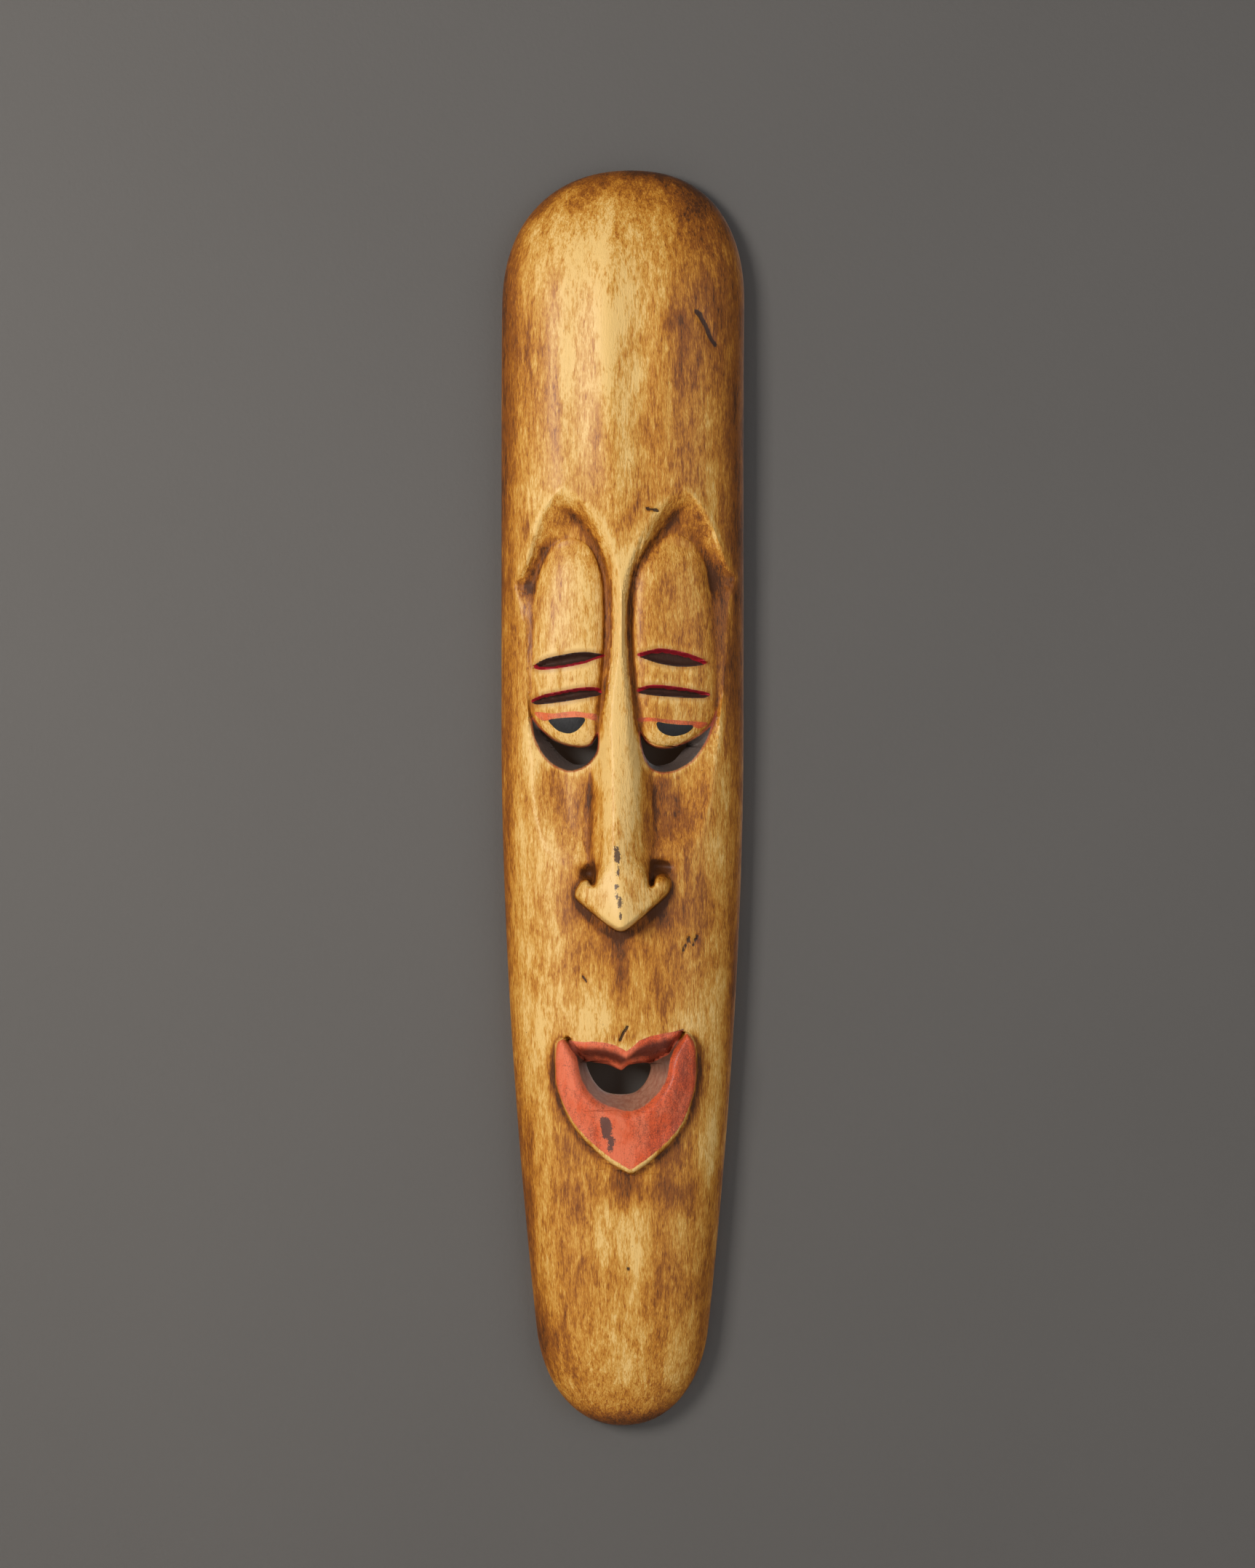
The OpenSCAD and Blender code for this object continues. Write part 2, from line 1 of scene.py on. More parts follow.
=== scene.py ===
import math
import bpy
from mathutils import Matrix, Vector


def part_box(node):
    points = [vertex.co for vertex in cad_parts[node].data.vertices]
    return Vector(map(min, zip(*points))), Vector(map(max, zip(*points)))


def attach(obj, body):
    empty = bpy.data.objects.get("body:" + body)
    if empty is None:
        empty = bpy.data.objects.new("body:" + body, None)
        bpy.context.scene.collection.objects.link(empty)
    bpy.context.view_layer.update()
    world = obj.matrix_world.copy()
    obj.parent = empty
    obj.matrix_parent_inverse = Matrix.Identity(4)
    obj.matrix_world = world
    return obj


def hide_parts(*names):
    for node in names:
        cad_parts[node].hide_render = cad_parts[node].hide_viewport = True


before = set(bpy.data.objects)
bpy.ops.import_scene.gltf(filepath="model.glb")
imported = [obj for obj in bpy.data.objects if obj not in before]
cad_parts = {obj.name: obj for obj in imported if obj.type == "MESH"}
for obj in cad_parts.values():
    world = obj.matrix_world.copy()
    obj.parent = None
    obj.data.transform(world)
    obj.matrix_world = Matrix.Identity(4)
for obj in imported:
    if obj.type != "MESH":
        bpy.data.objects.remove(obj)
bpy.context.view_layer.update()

from types import SimpleNamespace

import bpy
import numpy as np
from mathutils import Vector

MM = 0.001

# The carving is drawn in millimetres: x to the right of the middle, t down from the
# top of the mask, and height out from the wall.
LENGTH = 1000.0
HALF_WIDTH = 96.5
TAPER = 37.0
TAPER_FROM = 450.0
RIM_HEIGHT = 7.0
RIM_WALL = 13.0
HEAD_END = 110.0
CHIN_END = 80.0
END_CURVE = 2.3
DOME_END = 130.0
KEEL_HEIGHT = 2.6
KEEL_REACH = 14.0
FLUTE_DEPTH = 1.3
HANG_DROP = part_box("mask_body")[1].z / MM + 0.5
KEEL_LINE = [(0, -4), (90, -10), (210, -9.5), (260, -6), (300, -3.5)]
CREST_LINE = [(0, 46), (60, 54), (150, 59), (230, 60), (300, 58), (420, 56), (560, 54),
              (650, 53), (740, 52), (840, 51), (900, 49), (1000, 42)]

# The brow and eye sockets, as distances from the middle: the side of the nose, and
# the ridge that runs down from the brow over the cheek.
NOSE_LEFT = [(256, 46), (260, 37), (266, 30.5), (277, 22), (290, 16), (307, 12), (325, 10), (360, 10),
             (392, 11.5), (419, 15), (439, 17.6), (459, 18.8), (500, 20.5), (560, 22)]
NOSE_RIGHT = [(256, 47), (260, 38.5), (268, 31), (281, 23.3), (296, 17), (314, 11.6), (333, 8),
              (360, 6.5), (392, 7.6), (419, 10), (439, 12), (459, 14.5), (479, 18.5), (519, 21), (560, 22.5)]
RIDGE_LEFT = [(256, 46), (259, 51), (264, 56), (278, 65), (296, 71.3), (312, 75.5), (322, 80),
              (330, 86), (338, 84.5), (350, 81), (380, 77), (430, 75.5), (470, 72.3), (500, 70),
              (520, 67.5), (540, 61), (552, 51), (560, 38)]
RIDGE_RIGHT = [(256, 48), (260, 54), (264, 58), (275, 65.5), (290, 73), (305, 78.5), (318, 84.5),
               (324, 90), (334, 87.5), (360, 84), (400, 81.5), (434, 78), (470, 73.5), (517, 66),
               (537, 59), (550, 47), (560, 35)]
SOCKET = (256, 560)
NOSE_AXIS = [(250, -2.5), (340, -3.5), (440, -4.5), (500, -5.5), (560, -5), (590, -2), (606, 0.5)]
NOSE_SHARPNESS = [(300, 2.2), (420, 1.9), (480, 1.4), (606, 1.25)]
# How far the side of the nose runs in from its line, and out into the socket.
NOSE_SOFT = [(250, 1.5), (290, 3), (320, 7), (440, 9), (480, 13), (520, 16), (560, 17)]
SOCKET_SOFT = [(250, 17), (282, 15), (305, 8), (330, 3.5), (440, 3.5), (480, 6), (520, 9), (560, 9)]
# How deep the socket is beside the ridge, and beside the nose.
DEPTH_BY_RIDGE = [(256, 7), (275, 10), (300, 11), (318, 10.5), (332, 9), (346, 5.2), (370, 3.2),
                  (430, 3.6), (450, 7.5), (480, 10), (515, 8), (540, 3.5), (560, 0)]
DEPTH_BY_NOSE = [(256, 8), (275, 11), (300, 12), (330, 11), (400, 10), (440, 10.5), (480, 10), (515, 8),
                 (540, 4), (560, 0)]
NOSE_RISE = [(230, 0), (300, 0), (340, 1.5), (400, 4), (480, 10), (560, 19), (595, 24), (606, 24)]
NOSE_TIP = [(-20.5, 500), (-22, 540), (-22.3, 560), (-23.3, 567), (-27.5, 563.5), (-33, 566.5),
            (-37.5, 574), (-36, 580), (-24, 591), (-10, 601.5), (-2, 605), (6, 602), (22, 589), (34, 578),
            (38.5, 570), (37, 562.5), (31, 559.5), (25.5, 562), (22.9, 567.5), (22.3, 560), (21.5, 540),
            (20.5, 500)]
# How far in from its outline the tip of the nose is rounded over.
TIP_EDGE = [(540, 15), (556, 10), (567, 5)]
# The hollow behind each curled wing of the nose: x, t, reach across, reach along, depth.
POCKETS = [(-26.5, 559, 6.5, 5.5, 6.0), (30, 554, 8.5, 5.0, 6.5)]

LID_LEFT = [(-40, 295), (-55, 301), (-65, 318), (-69.8, 340), (-70.5, 385), (-71.5, 420), (-70.8, 436),
            (-63.9, 444.5), (-54.4, 452.6), (-43.7, 457.4), (-33, 459), (-25, 457), (-19.8, 448),
            (-17, 420), (-14.5, 385), (-14, 345), (-17, 320), (-26, 302)]
LID_RIGHT = [(41, 292), (26, 299), (14, 314), (8.5, 335), (6.8, 365), (8.5, 400), (11, 430), (14.4, 447),
             (19, 454), (27.4, 458.5), (38, 458.8), (50, 455), (61.8, 447.8), (70.1, 439.3), (74, 428),
             (73.5, 400), (71.5, 365), (69.5, 335), (65, 313), (55, 298)]
LID_DROP = [(290, 12), (320, 5), (360, 2), (430, 2), (470, 4)]
# Each cut across a lid: its outline from tip to tip over the top and back below, how many
# of its points are the upper edge, which edge has the crimson line, and the line's width.
SLITS = [
    ([(-70, 396), (-60, 390.5), (-48, 387.7), (-32, 385.4), (-22, 386.2), (-13.5, 387.9),
      (-24, 391.9), (-30, 394.2), (-48, 397.6), (-64.5, 399)], 6, "lower", 1.5),
    ([(-71.6, 422.9), (-63, 419), (-53, 416.8), (-32, 413.3), (-20, 413.2), (-16.7, 415.6),
      (-18, 419), (-29.5, 421.4), (-48.5, 424.4), (-67.5, 426.2)], 6, "upper", 1.6),
    ([(11.4, 387.1), (22, 384), (32.2, 382.6), (52.4, 386.6), (66.4, 392.9), (58.3, 396),
      (44, 396.6), (28.7, 394.2), (17, 390.2)], 5, "upper", 2.3),
    ([(11.8, 414.6), (22.7, 411.2), (40.5, 412.3), (57.1, 415), (68.8, 417.6), (66, 420.6),
      (58.3, 421.3), (40.5, 420.6), (22.7, 419.2), (13.4, 417.4)], 5, "upper", 1.7)]
EYE_RIMS = [
    [(-71.5, 437), (-63.9, 446), (-54.4, 453.5), (-43.7, 458), (-33, 459.5), (-24.7, 457.5), (-19.3, 449),
     (-19, 461), (-22, 468), (-29.5, 475.5), (-39, 479), (-47, 478), (-57, 472.6), (-65, 463), (-70.5, 450)],
    [(74, 432), (70.5, 441), (62, 449), (50, 456), (38, 460), (27, 459.8), (18.5, 455), (13.8, 448),
     (14.5, 458), (16.9, 467), (21.5, 476), (31, 480.3), (44, 478), (57, 469.2), (67.5, 453)]]
EYE_HOLES = [
    [(-64, 447), (-54.4, 455), (-43.7, 459.3), (-33, 460.8), (-25, 459), (-20.2, 452),
     (-20, 461), (-23, 466.8), (-29.5, 473), (-39, 473), (-48.5, 466.6), (-57, 457)],
    [(15, 451), (19, 457), (27.4, 461), (38, 461.3), (47, 458.8), (52, 456), (47.2, 463), (40.5, 470.6),
     (32, 474), (23.5, 473.4), (17.6, 466.8), (15.2, 458)]]

LOWER_LIP = [(-46.8, 688.5), (-51.4, 691.5), (-53.3, 699), (-53.5, 713), (-52.2, 727.4), (-44.6, 748.7),
             (-35.7, 763), (-25, 774.5), (-13.5, 784.3), (-2.8, 791.4), (7, 795.4), (15.9, 790.5),
             (26.6, 782.5), (39.9, 770), (49.7, 755.8), (55, 739.8), (58.6, 723.7), (58.9, 706),
             (58.3, 696.2), (55.6, 689), (50.4, 684.2), (45, 690), (30, 700), (0, 706), (-30, 700),
             (-41, 693)]
MOUTH = [(-42.8, 690.2), (-40.5, 696), (-36.6, 704), (-33, 720), (-26.8, 731.4), (-16.1, 740.3),
         (-6.4, 743.8), (4.3, 746.5), (13.2, 744.7), (22.1, 738.5), (29.2, 731.4), (35.5, 720.7),
         (37.5, 709), (40.5, 700), (48.8, 683), (45.7, 681.5), (40.8, 683.6), (31, 685.1), (22.1, 686.9),
         (13.2, 690.4), (8.4, 695), (3.4, 698.6), (-4.6, 694.4), (-14.4, 691.7), (-24, 691.3),
         (-33, 691.7)]
MOUTH_HOLE = [(-28.2, 709), (-17, 709.5), (-10, 711), (-1, 714.8), (4.3, 711), (13.2, 709.3),
              (20, 709.4), (22.4, 713), (20.4, 720.9), (15.9, 728), (8.8, 733.4), (-1, 734.7),
              (-11.7, 733.4), (-18.8, 728.9), (-25, 720)]
MOUTH_CREASES = [[(-42.8, 690.4), (-39.5, 697), (-35.5, 703), (-28.4, 708.8)],
                 [(48.6, 683), (43.5, 693), (36.5, 701.5), (22, 709.4)]]
UPPER_LIP_EDGE = [(-43, 690.4), (-33, 691.7), (-24, 691.3), (-14.4, 691.7), (-4.6, 694.4), (3.4, 698.8),
                  (8.4, 695), (13.2, 690.4), (22.1, 686.9), (31, 685.1), (40.8, 683.6), (48.8, 682.4)]
UPPER_LIP_LOW = [(-43, 691), (-37.9, 699.7), (-28.4, 708.8), (-17, 709.5), (-10, 711), (-1, 714.8),
                 (4.3, 711), (13.2, 709.3), (22, 709.4), (36.5, 701.5), (48.8, 683)]

# Paint on the lids, and damage.
LID_BANDS = [
    [(-69.2, 432.2), (-54.4, 433.4), (-39, 431.8), (-28.3, 433.2), (-20.6, 434), (-21.2, 439.3),
     (-30, 436.9), (-52, 437.2), (-57, 438.6), (-63.9, 438.7)],
    [(12.6, 437), (22.7, 436.8), (34.5, 438.2), (50, 439.3), (61.8, 440), (68, 441), (60.6, 445.3),
     (55.9, 444), (39.3, 441.6), (23.9, 439.8), (13.2, 440)]]
PUPILS = [
    [(-58.3, 438.6), (-52, 437.4), (-41, 436.6), (-30.7, 436.7), (-29.3, 439), (-33, 444.5), (-38, 448.2),
     (-44, 449.2), (-51, 446.8), (-56, 442.2)],
    [(26.9, 440.4), (34, 441.2), (45, 442.4), (55.5, 442.8), (54.5, 446), (49.5, 449.4), (41, 451.4),
     (33, 449.8), (28.3, 446)]]
# Each crack: its width and its line.
CRACKS = [
    (2.5, [(57.5, 116.5), (61, 119), (62.5, 124), (66, 127.5), (67, 133), (70, 137.5), (73.5, 144)]),
    (1.6, [(52.3, 610), (51.4, 613.5), (49.2, 617), (48.2, 621)]),
    (1.5, [(58.9, 608.4), (57.9, 611.5), (56.6, 613), (55.3, 616.5)]),
    (1.3, [(-31, 640), (-29.6, 643), (-28, 645.5)]),
    (1.3, [(23, 243), (25.5, 243.6), (28.5, 244.8)]),
    (1.3, [(19, 273), (23, 273.6), (27.5, 274.4)]),
    (1.3, [(-2, 690.5), (1, 684), (4, 680)]),
    (1.3, [(3.5, 868), (5, 870), (6.4, 873)])]
# Patches worn or left on the paint: x, t, reach across, reach along, strength.
NOSE_SCUFFS = [
    (-4.4, 540, 2.6, 4.4, 1), (-4.2, 547, 2.8, 4, 1), (-3.6, 558.5, 2.2, 4.2, 1), (-4.2, 569, 2.6, 2.6, 1),
    (-3.4, 577, 2.6, 4.2, 1), (-1.6, 583, 2.2, 3.6, 1), (-1.4, 592, 1.4, 4, 1)]
LIP_SCUFFS = [
    (-14.5, 753, 4.2, 4.2, 1), (-11.5, 758, 5.2, 5, 1), (-12.5, 763.5, 4.6, 4, 1),
    (-8.5, 769, 3.4, 3.4, 1), (-9.5, 775, 2.6, 3, 1)]
# Brown glaze left in broad patches. Those under the lower lip are painted shadow, and those below and beside
# the nose are partly painted shadow.
STAINS_AND_SHADE = [
    (6, 0, 90, 26, 1.0), (-60, 28, 30, 26, 0.45), (62, 32, 34, 34, 0.75), (84, 130, 20, 110, 0.55),
    (60, 112, 24, 50, 0.5), (46, 200, 30, 60, 0.42), (42, 385, 24, 60, 0.62), (40, 130, 24, 46, 0.4),
    (-70, 150, 20, 60, 0.3), (-92, 140, 14, 170, 0.62), (92, 330, 12, 170, 0.62),
    (-42, 284, 26, 13, 0.4), (44, 282, 26, 14, 0.62), (-84, 334, 8, 12, 0.7), (84, 332, 10, 16, 0.75),
    (-74, 380, 5, 80, 0.45), (78, 380, 7, 90, 0.55), (-42, 505, 22, 30, 0.42), (42, 510, 24, 36, 0.8),
    (-92, 470, 10, 170, 0.45), (62, 590, 30, 46, 0.6), (-34, 588, 13, 15, 0.85), (34, 592, 15, 15, 0.85),
    (-3, 615, 17, 12, 1.0), (-2, 640, 8, 26, 0.95), (28, 636, 26, 26, 0.5), (-24, 630, 14, 20, 0.5),
    (-26, 558, 11, 9, 1.0), (32, 556, 12, 9, 1.0), (-50, 735, 9, 28, 0.5), (62, 730, 8, 30, 0.6),
    (-38, 776, 18, 14, 0.8), (40, 780, 18, 14, 0.8), (4, 806, 30, 13, 0.8), (50, 812, 26, 16, 0.55),
    (-44, 815, 18, 18, 0.5), (-60, 930, 18, 26, 0.95), (0, 998, 60, 14, 0.85), (58, 900, 14, 60, 0.5),
    (30, 870, 22, 34, 0.42), (-30, 880, 18, 22, 0.35), (-76, 800, 9, 80, 0.6), (84, 690, 8, 60, 0.35)]
# Paint worn pale, and painted highlights: the line beside the forehead's keel and the band further left on
# the forehead.
PALE_AND_HIGHLIGHTS = [
    (-22, 120, 34, 70, 0.8), (2, 160, 9, 90, 0.5), (30, 110, 24, 60, 0.5), (-46, 370, 20, 60, 0.6),
    (-4, 470, 7, 120, 0.6), (-70, 545, 20, 26, 0.55), (70, 548, 16, 20, 0.6),
    (-66, 640, 22, 60, 0.4), (4, 598, 18, 7, 0.75), (-20, 676, 22, 14, 0.8), (62, 672, 22, 26, 0.6),
    (-12, 155, 6, 66, 0.95), (-48, 182, 9, 38, 0.4), (2, 836, 14, 16, 0.6), (-8, 845, 12, 24, 0.85),
    (-28, 842, 16, 12, 0.5), (10, 862, 8, 18, 0.6), (72, 760, 10, 60, 0.5),
    (-20, 68, 30, 14, 0.4), (-72, 720, 12, 50, 0.5)]


# ---------------------------------------------------------------- curves and distances

def ramp(value, low, high):
    """A soft step from 0 at low to 1 at high."""
    share = np.clip((value - low) / (high - low), 0, 1)
    return share * share * (3 - 2 * share)


def along(points, t):
    """The value at t of a smooth line through (t, value) points."""
    knots, values = np.array(points, float).T
    slopes = np.gradient(values, knots)
    i = np.clip(np.searchsorted(knots, t) - 1, 0, len(knots) - 2)
    h = knots[i + 1] - knots[i]
    s = np.clip((t - knots[i]) / h, 0, 1)
    return ((2 * s**3 - 3 * s**2 + 1) * values[i] + (s**3 - 2 * s**2 + s) * h * slopes[i]
            + (3 * s**2 - 2 * s**3) * values[i + 1] + (s**3 - s**2) * h * slopes[i + 1])


def soft_abs(value, softness):
    """The size of a value, rounded off near 0."""
    return np.sqrt(value**2 + softness**2) - softness


def rounded(points, steps=6):
    """A closed smooth outline through the points."""
    b = np.array(points, float)
    a, c, d = np.roll(b, 1, 0), np.roll(b, -1, 0), np.roll(b, -2, 0)
    u = (np.arange(steps) / steps)[None, :, None]
    a, b, c, d = a[:, None], b[:, None], c[:, None], d[:, None]
    out = 0.5 * (2 * b + (c - a) * u + (2 * a - 5 * b + 4 * c - d) * u**2 + (3 * b - a - 3 * c + d) * u**3)
    return out.reshape(-1, 2)


def off_line(x, t, line, reach=30.0, closed=False):
    """Distance to a line of points, or reach where it is further away."""
    line = np.array(line, float)
    ends = np.roll(line, -1, 0) if closed else line[1:]
    starts = line if closed else line[:-1]
    far = np.full(np.shape(x), reach)
    near = ((x > line[:, 0].min() - reach) & (x < line[:, 0].max() + reach)
            & (t > line[:, 1].min() - reach) & (t < line[:, 1].max() + reach))
    px, pt = x[near], t[near]
    best = np.full(px.shape, reach**2)
    for a, b in zip(starts, ends):
        span = b - a
        share = np.clip(((px - a[0]) * span[0] + (pt - a[1]) * span[1]) / max(span @ span, 1e-9), 0, 1)
        best = np.minimum(best, (px - a[0] - share * span[0])**2 + (pt - a[1] - share * span[1])**2)
    far[near] = np.sqrt(best)
    return far


def within(x, t, outline, reach=30.0):
    """Distance inside a closed outline, negative outside it."""
    odd = np.zeros(np.shape(x), bool)
    for a, b in zip(outline, np.roll(outline, -1, 0)):
        if a[1] != b[1]:
            crosses = (a[1] > t) != (b[1] > t)
            odd ^= crosses & (x < a[0] + (t - a[1]) * (b[0] - a[0]) / (b[1] - a[1]))
    return np.where(odd, 1, -1) * off_line(x, t, outline, reach, closed=True)


def blobs(x, t, spots):
    """A sum of soft patches, each (x, t, reach across, reach along, strength)."""
    total = np.zeros(np.shape(x))
    for cx, ct, rx, rt, strength in spots:
        total += strength * np.exp(-((x - cx) / rx)**2 - ((t - ct) / rt)**2)
    return total


# ---------------------------------------------------------------- the carved surface

def end_cap(share, power):
    """From 0 at the very end of the mask to 1 where its rounded end begins."""
    return (1 - np.clip(1 - share, 0, 1)**power)**(1 / power)


def side_line(t):
    return HALF_WIDTH - TAPER * np.clip((t - TAPER_FROM) / (LENGTH - TAPER_FROM), 0, 1)**1.8


def half_width(t):
    return side_line(t) * end_cap(t / HEAD_END, END_CURVE) * end_cap((LENGTH - t) / CHIN_END, END_CURVE)


def middle(t):
    """The head's top leans a little to the right."""
    return 6.5 * np.exp(-t / 45)


def block(x, t):
    """The rounded block before the face is cut, with the forehead's keel and flutes."""
    crest = (along(CREST_LINE, t) - RIM_HEIGHT) * end_cap(t / DOME_END, END_CURVE)
    crest *= end_cap((LENGTH - t) / DOME_END, 2.4)
    u = np.clip(np.abs(x - middle(t)) / np.maximum(half_width(t), 0.01), 0, 1)
    off_keel = np.abs(x - along(KEEL_LINE, t))
    keel = KEEL_HEIGHT * np.exp(-(off_keel / KEEL_REACH)**1.8) * ramp(t, 25, 90) * (1 - ramp(t, 250, 300))
    flutes = FLUTE_DEPTH * np.exp(-((off_keel - 26) / 12)**2) * ramp(t, 60, 150) * (1 - ramp(t, 230, 290))
    return RIM_HEIGHT + crest * (1 - u**2.3)**0.6 + keel - flutes


def hand_work(x, t):
    """The slight unevenness that a knife and sandpaper leave."""
    swell = (np.sin(x / 17 + 1.3 * np.sin(t / 61)) * np.sin(t / 43 + 0.7)
             + 0.7 * np.sin(x / 9.5 - t / 71 + 2.1) * np.sin(t / 29 + x / 33))
    facets = np.abs(np.sin(x / 7.3 + 0.8 * np.sin(t / 83 + 1.0))) - 0.6
    return 0.22 * swell + 0.10 * facets


def sockets(x, t, face):
    """The brow and eye sockets: from a crest over the brow and down the cheek they fall
    towards the eyelid, and rise again softly into the side of the nose."""
    steps = np.linspace(*SOCKET, 77)
    result = face.copy()
    for side, nose_line, ridge_line, lid in ((-1, NOSE_LEFT, RIDGE_LEFT, LID_LEFT),
                                             (1, NOSE_RIGHT, RIDGE_RIGHT, LID_RIGHT)):
        here = (x * side > 0) & (t > SOCKET[0] - 14) & (t < SOCKET[1])
        hx, ht = x[here], t[here]
        hs = np.abs(hx)
        to_nose = off_line(hx, ht, np.c_[side * along(nose_line, steps), steps], 80)
        to_nose *= np.where(hs > along(nose_line, ht), 1, -1)
        to_ridge = off_line(hx, ht, np.c_[side * along(ridge_line, steps), steps], 80)
        inside = (hs < along(ridge_line, ht)) & (ht > SOCKET[0])
        to_lid = np.maximum(-within(hx, ht, rounded(lid), 60), 0)
        reach = np.clip(to_ridge + to_lid, 1, 26)
        outer = 1 - (1 - np.clip(to_ridge / reach, 0, 1))**1.6
        inner = ramp(to_nose, -along(NOSE_SOFT, ht), along(SOCKET_SOFT, ht))
        by_ridge, by_nose = along(DEPTH_BY_RIDGE, ht), along(DEPTH_BY_NOSE, ht)
        deep = by_ridge + (by_nose - by_ridge) * ramp(hs, 56, 28)
        bead = 0.8 * np.exp(-(to_ridge / 2.6)**2) * (1 - ramp(ht, 326, 345)) * ramp(hs, 38, 50)
        result[here] += bead - inside * deep * inner * outer
    return result


def nose(x, t):
    """A rounded bridge that widens downwards and ends in a tip with two curled wings."""
    axis = along(NOSE_AXIS, t)
    half = np.where(x < axis, along(NOSE_LEFT, t) + axis, along(NOSE_RIGHT, t) - axis) + 3
    share = np.clip(soft_abs(x - axis, 2.5) / np.maximum(half, 1), 0, 1)
    bridge = (1 - share**along(NOSE_SHARPNESS, t))**1.3
    tip = within(x, t, rounded(NOSE_TIP))
    ball = 1 - 0.72 * np.clip(soft_abs(x - 0.5 * axis, 4) / 38, 0, 1)**0.95
    ball *= 1 - (1 - np.clip(tip / along(TIP_EDGE, t), 0, 1))**2.2
    low = ramp(t, 540, 564)
    return along(NOSE_RISE, t) * ((1 - low) * bridge + low * ball) * (t > 296)


def eyelids(x, t, ground):
    """Long domed lids, each with two cuts across it."""
    result = ground.copy()
    for outline in (LID_LEFT, LID_RIGHT):
        deep = within(x, t, rounded(outline))
        top = np.maximum(block(x, t) - along(LID_DROP, t), ground + 2)
        dome = np.sqrt(1 - (1 - np.clip(deep / 19, 0, 1))**2)
        result = np.where(deep > 0, ground + (top - ground) * dome, result)
    for outline, _, _, _ in SLITS:
        deep = within(x, t, rounded(outline, 5), 8)
        result -= 6.5 * (1 - (1 - np.clip(deep / 3.6, 0, 1))**1.8)
        result -= 0.35 * np.exp(-(np.clip(-deep, 0, 8) / 1.2)**2)
    return result


def eye_pits(x, t, ground):
    """The bevel that leads down to each eye hole, below its lid."""
    result = ground.copy()
    for rim, hole, lid in zip(EYE_RIMS, EYE_HOLES, (LID_LEFT, LID_RIGHT)):
        inside_rim = within(x, t, rounded(rim))
        out_of_hole = np.maximum(-within(x, t, rounded(hole)), 0)
        below_lid = within(x, t, rounded(lid)) < 0
        share = np.maximum(inside_rim, 0) / np.maximum(inside_rim + out_of_hole, 0.01)
        result -= np.where(below_lid & (inside_rim > 0), 13 * share**1.15, 0)
    return result


def mouth(x, t, face):
    """A lower lip that swells to a rounded crest and rolls into the mouth, and an upper
    lip that rolls back from the face."""
    lip = within(x, t, rounded(LOWER_LIP))
    well = within(x, t, rounded(MOUTH))
    outside = np.maximum(-well, 0)
    swell = 9.5 - 5.5 * (1 - np.clip(outside / 6.5, 0, 1))**2 - 3.5 * ramp(outside, 6, 28)
    lower = face + swell * (1 - (1 - np.clip(lip / 3.2, 0, 1))**2.4)
    from_hole = np.maximum(-within(x, t, rounded(MOUTH_HOLE)), 0)
    share = from_hole / np.maximum(from_hole + np.maximum(well, 0), 0.01)
    bevel = face - 15 + 19 * np.clip(share, 0, 1)**0.85
    top = np.interp(x, *np.array(UPPER_LIP_EDGE).T)
    bottom = np.interp(x, *np.array(UPPER_LIP_LOW).T)
    roll = np.clip((t - top) / np.maximum(bottom - top, 0.5), 0, 1)
    back = 4 + 9 * ramp(x, -38, -27) * (1 - ramp(x, 21, 37))
    bow = 2.6 * np.exp(-((x - 2.5) / 5.5)**2) * ramp(roll, 0.1, 0.6)
    upper = face + 1.2 * np.sin(np.pi * np.clip(roll * 1.6, 0, 1)) - back * roll**1.6 + bow
    past = ramp(t - bottom, -1.2, 1.2)
    in_mouth = upper * (1 - past) + bevel * past
    result = np.where(well > 0, in_mouth, np.where(lip > 0, lower, face))
    for crease in MOUTH_CREASES:
        result -= 4.5 * np.exp(-(off_line(x, t, crease, 12) / 1.9)**2) * (t > 684) * (lip > -3)
    return result


def carved(x, t):
    """Height of the carving over the wall, for arrays of x and t."""
    face = block(x, t) + hand_work(x, t)
    height = sockets(x, t, face) + nose(x, t)
    height = eyelids(x, t, height)
    height = eye_pits(x, t, height)
    for cx, ct, rx, rt, deep in POCKETS:
        spot = np.exp(-((x - cx) / rx)**2 - ((t - ct) / rt)**2)
        off_tip = ramp(-within(x, t, rounded(NOSE_TIP)), -0.5, 1.0)
        height -= deep * spot * off_tip
    height = mouth(x, t, height)
    for width, crack in CRACKS:
        height -= 1.3 * np.exp(-(off_line(x, t, crack, 6) / (0.6 * width))**2)
    return height


# ---------------------------------------------------------------- rows and columns

def spread(*parts):
    """Rows in stretches of (from, to, step)."""
    return np.concatenate([np.arange(low, high, step) for low, high, step in parts])


ANGLES = np.linspace(0.055, math.pi / 2, 26)
ROWS = np.concatenate([
    HEAD_END * (1 - np.cos(ANGLES)),
    spread((114, 252, 4), (252, 345, 1.35), (345, 378, 2.4), (378, 436, 1.0), (436, 484, 1.2),
           (484, 545, 2.2), (545, 612, 1.2), (612, 676, 4), (676, 800, 1.2), (800, 918, 5)),
    LENGTH - CHIN_END * (1 - np.cos(ANGLES[::-1]))])
# Columns on each side of the middle, up to the side of the nose, the two sides of the
# lid or lip, the ridge and the outline.
COLUMN_STEPS = (18, 9, 22, 9, 15)
GUIDE_REST = [
    [(0, 17), (200, 17), (256, 42), (556, 22), (561, 27), (567, 36), (574, 38), (581, 35), (591, 24),
     (602, 11), (612, 11), (735, 8), (790, 8), (850, 14), (1000, 14)],
    [(0, 30), (200, 30), (254, 45), (262, 43), (296, 34), (462, 34), (480, 36), (620, 36), (684, 40),
     (740, 20), (790, 18), (850, 26), (1000, 26)],
    [(0, 42), (200, 42), (254, 50), (262, 49), (296, 52), (462, 50), (480, 50), (620, 48), (684, 48),
     (790, 24), (850, 40), (1000, 46)],
    [(0, 62), (200, 62), (256, 51), (546, 57), (600, 62), (1000, 62)]]


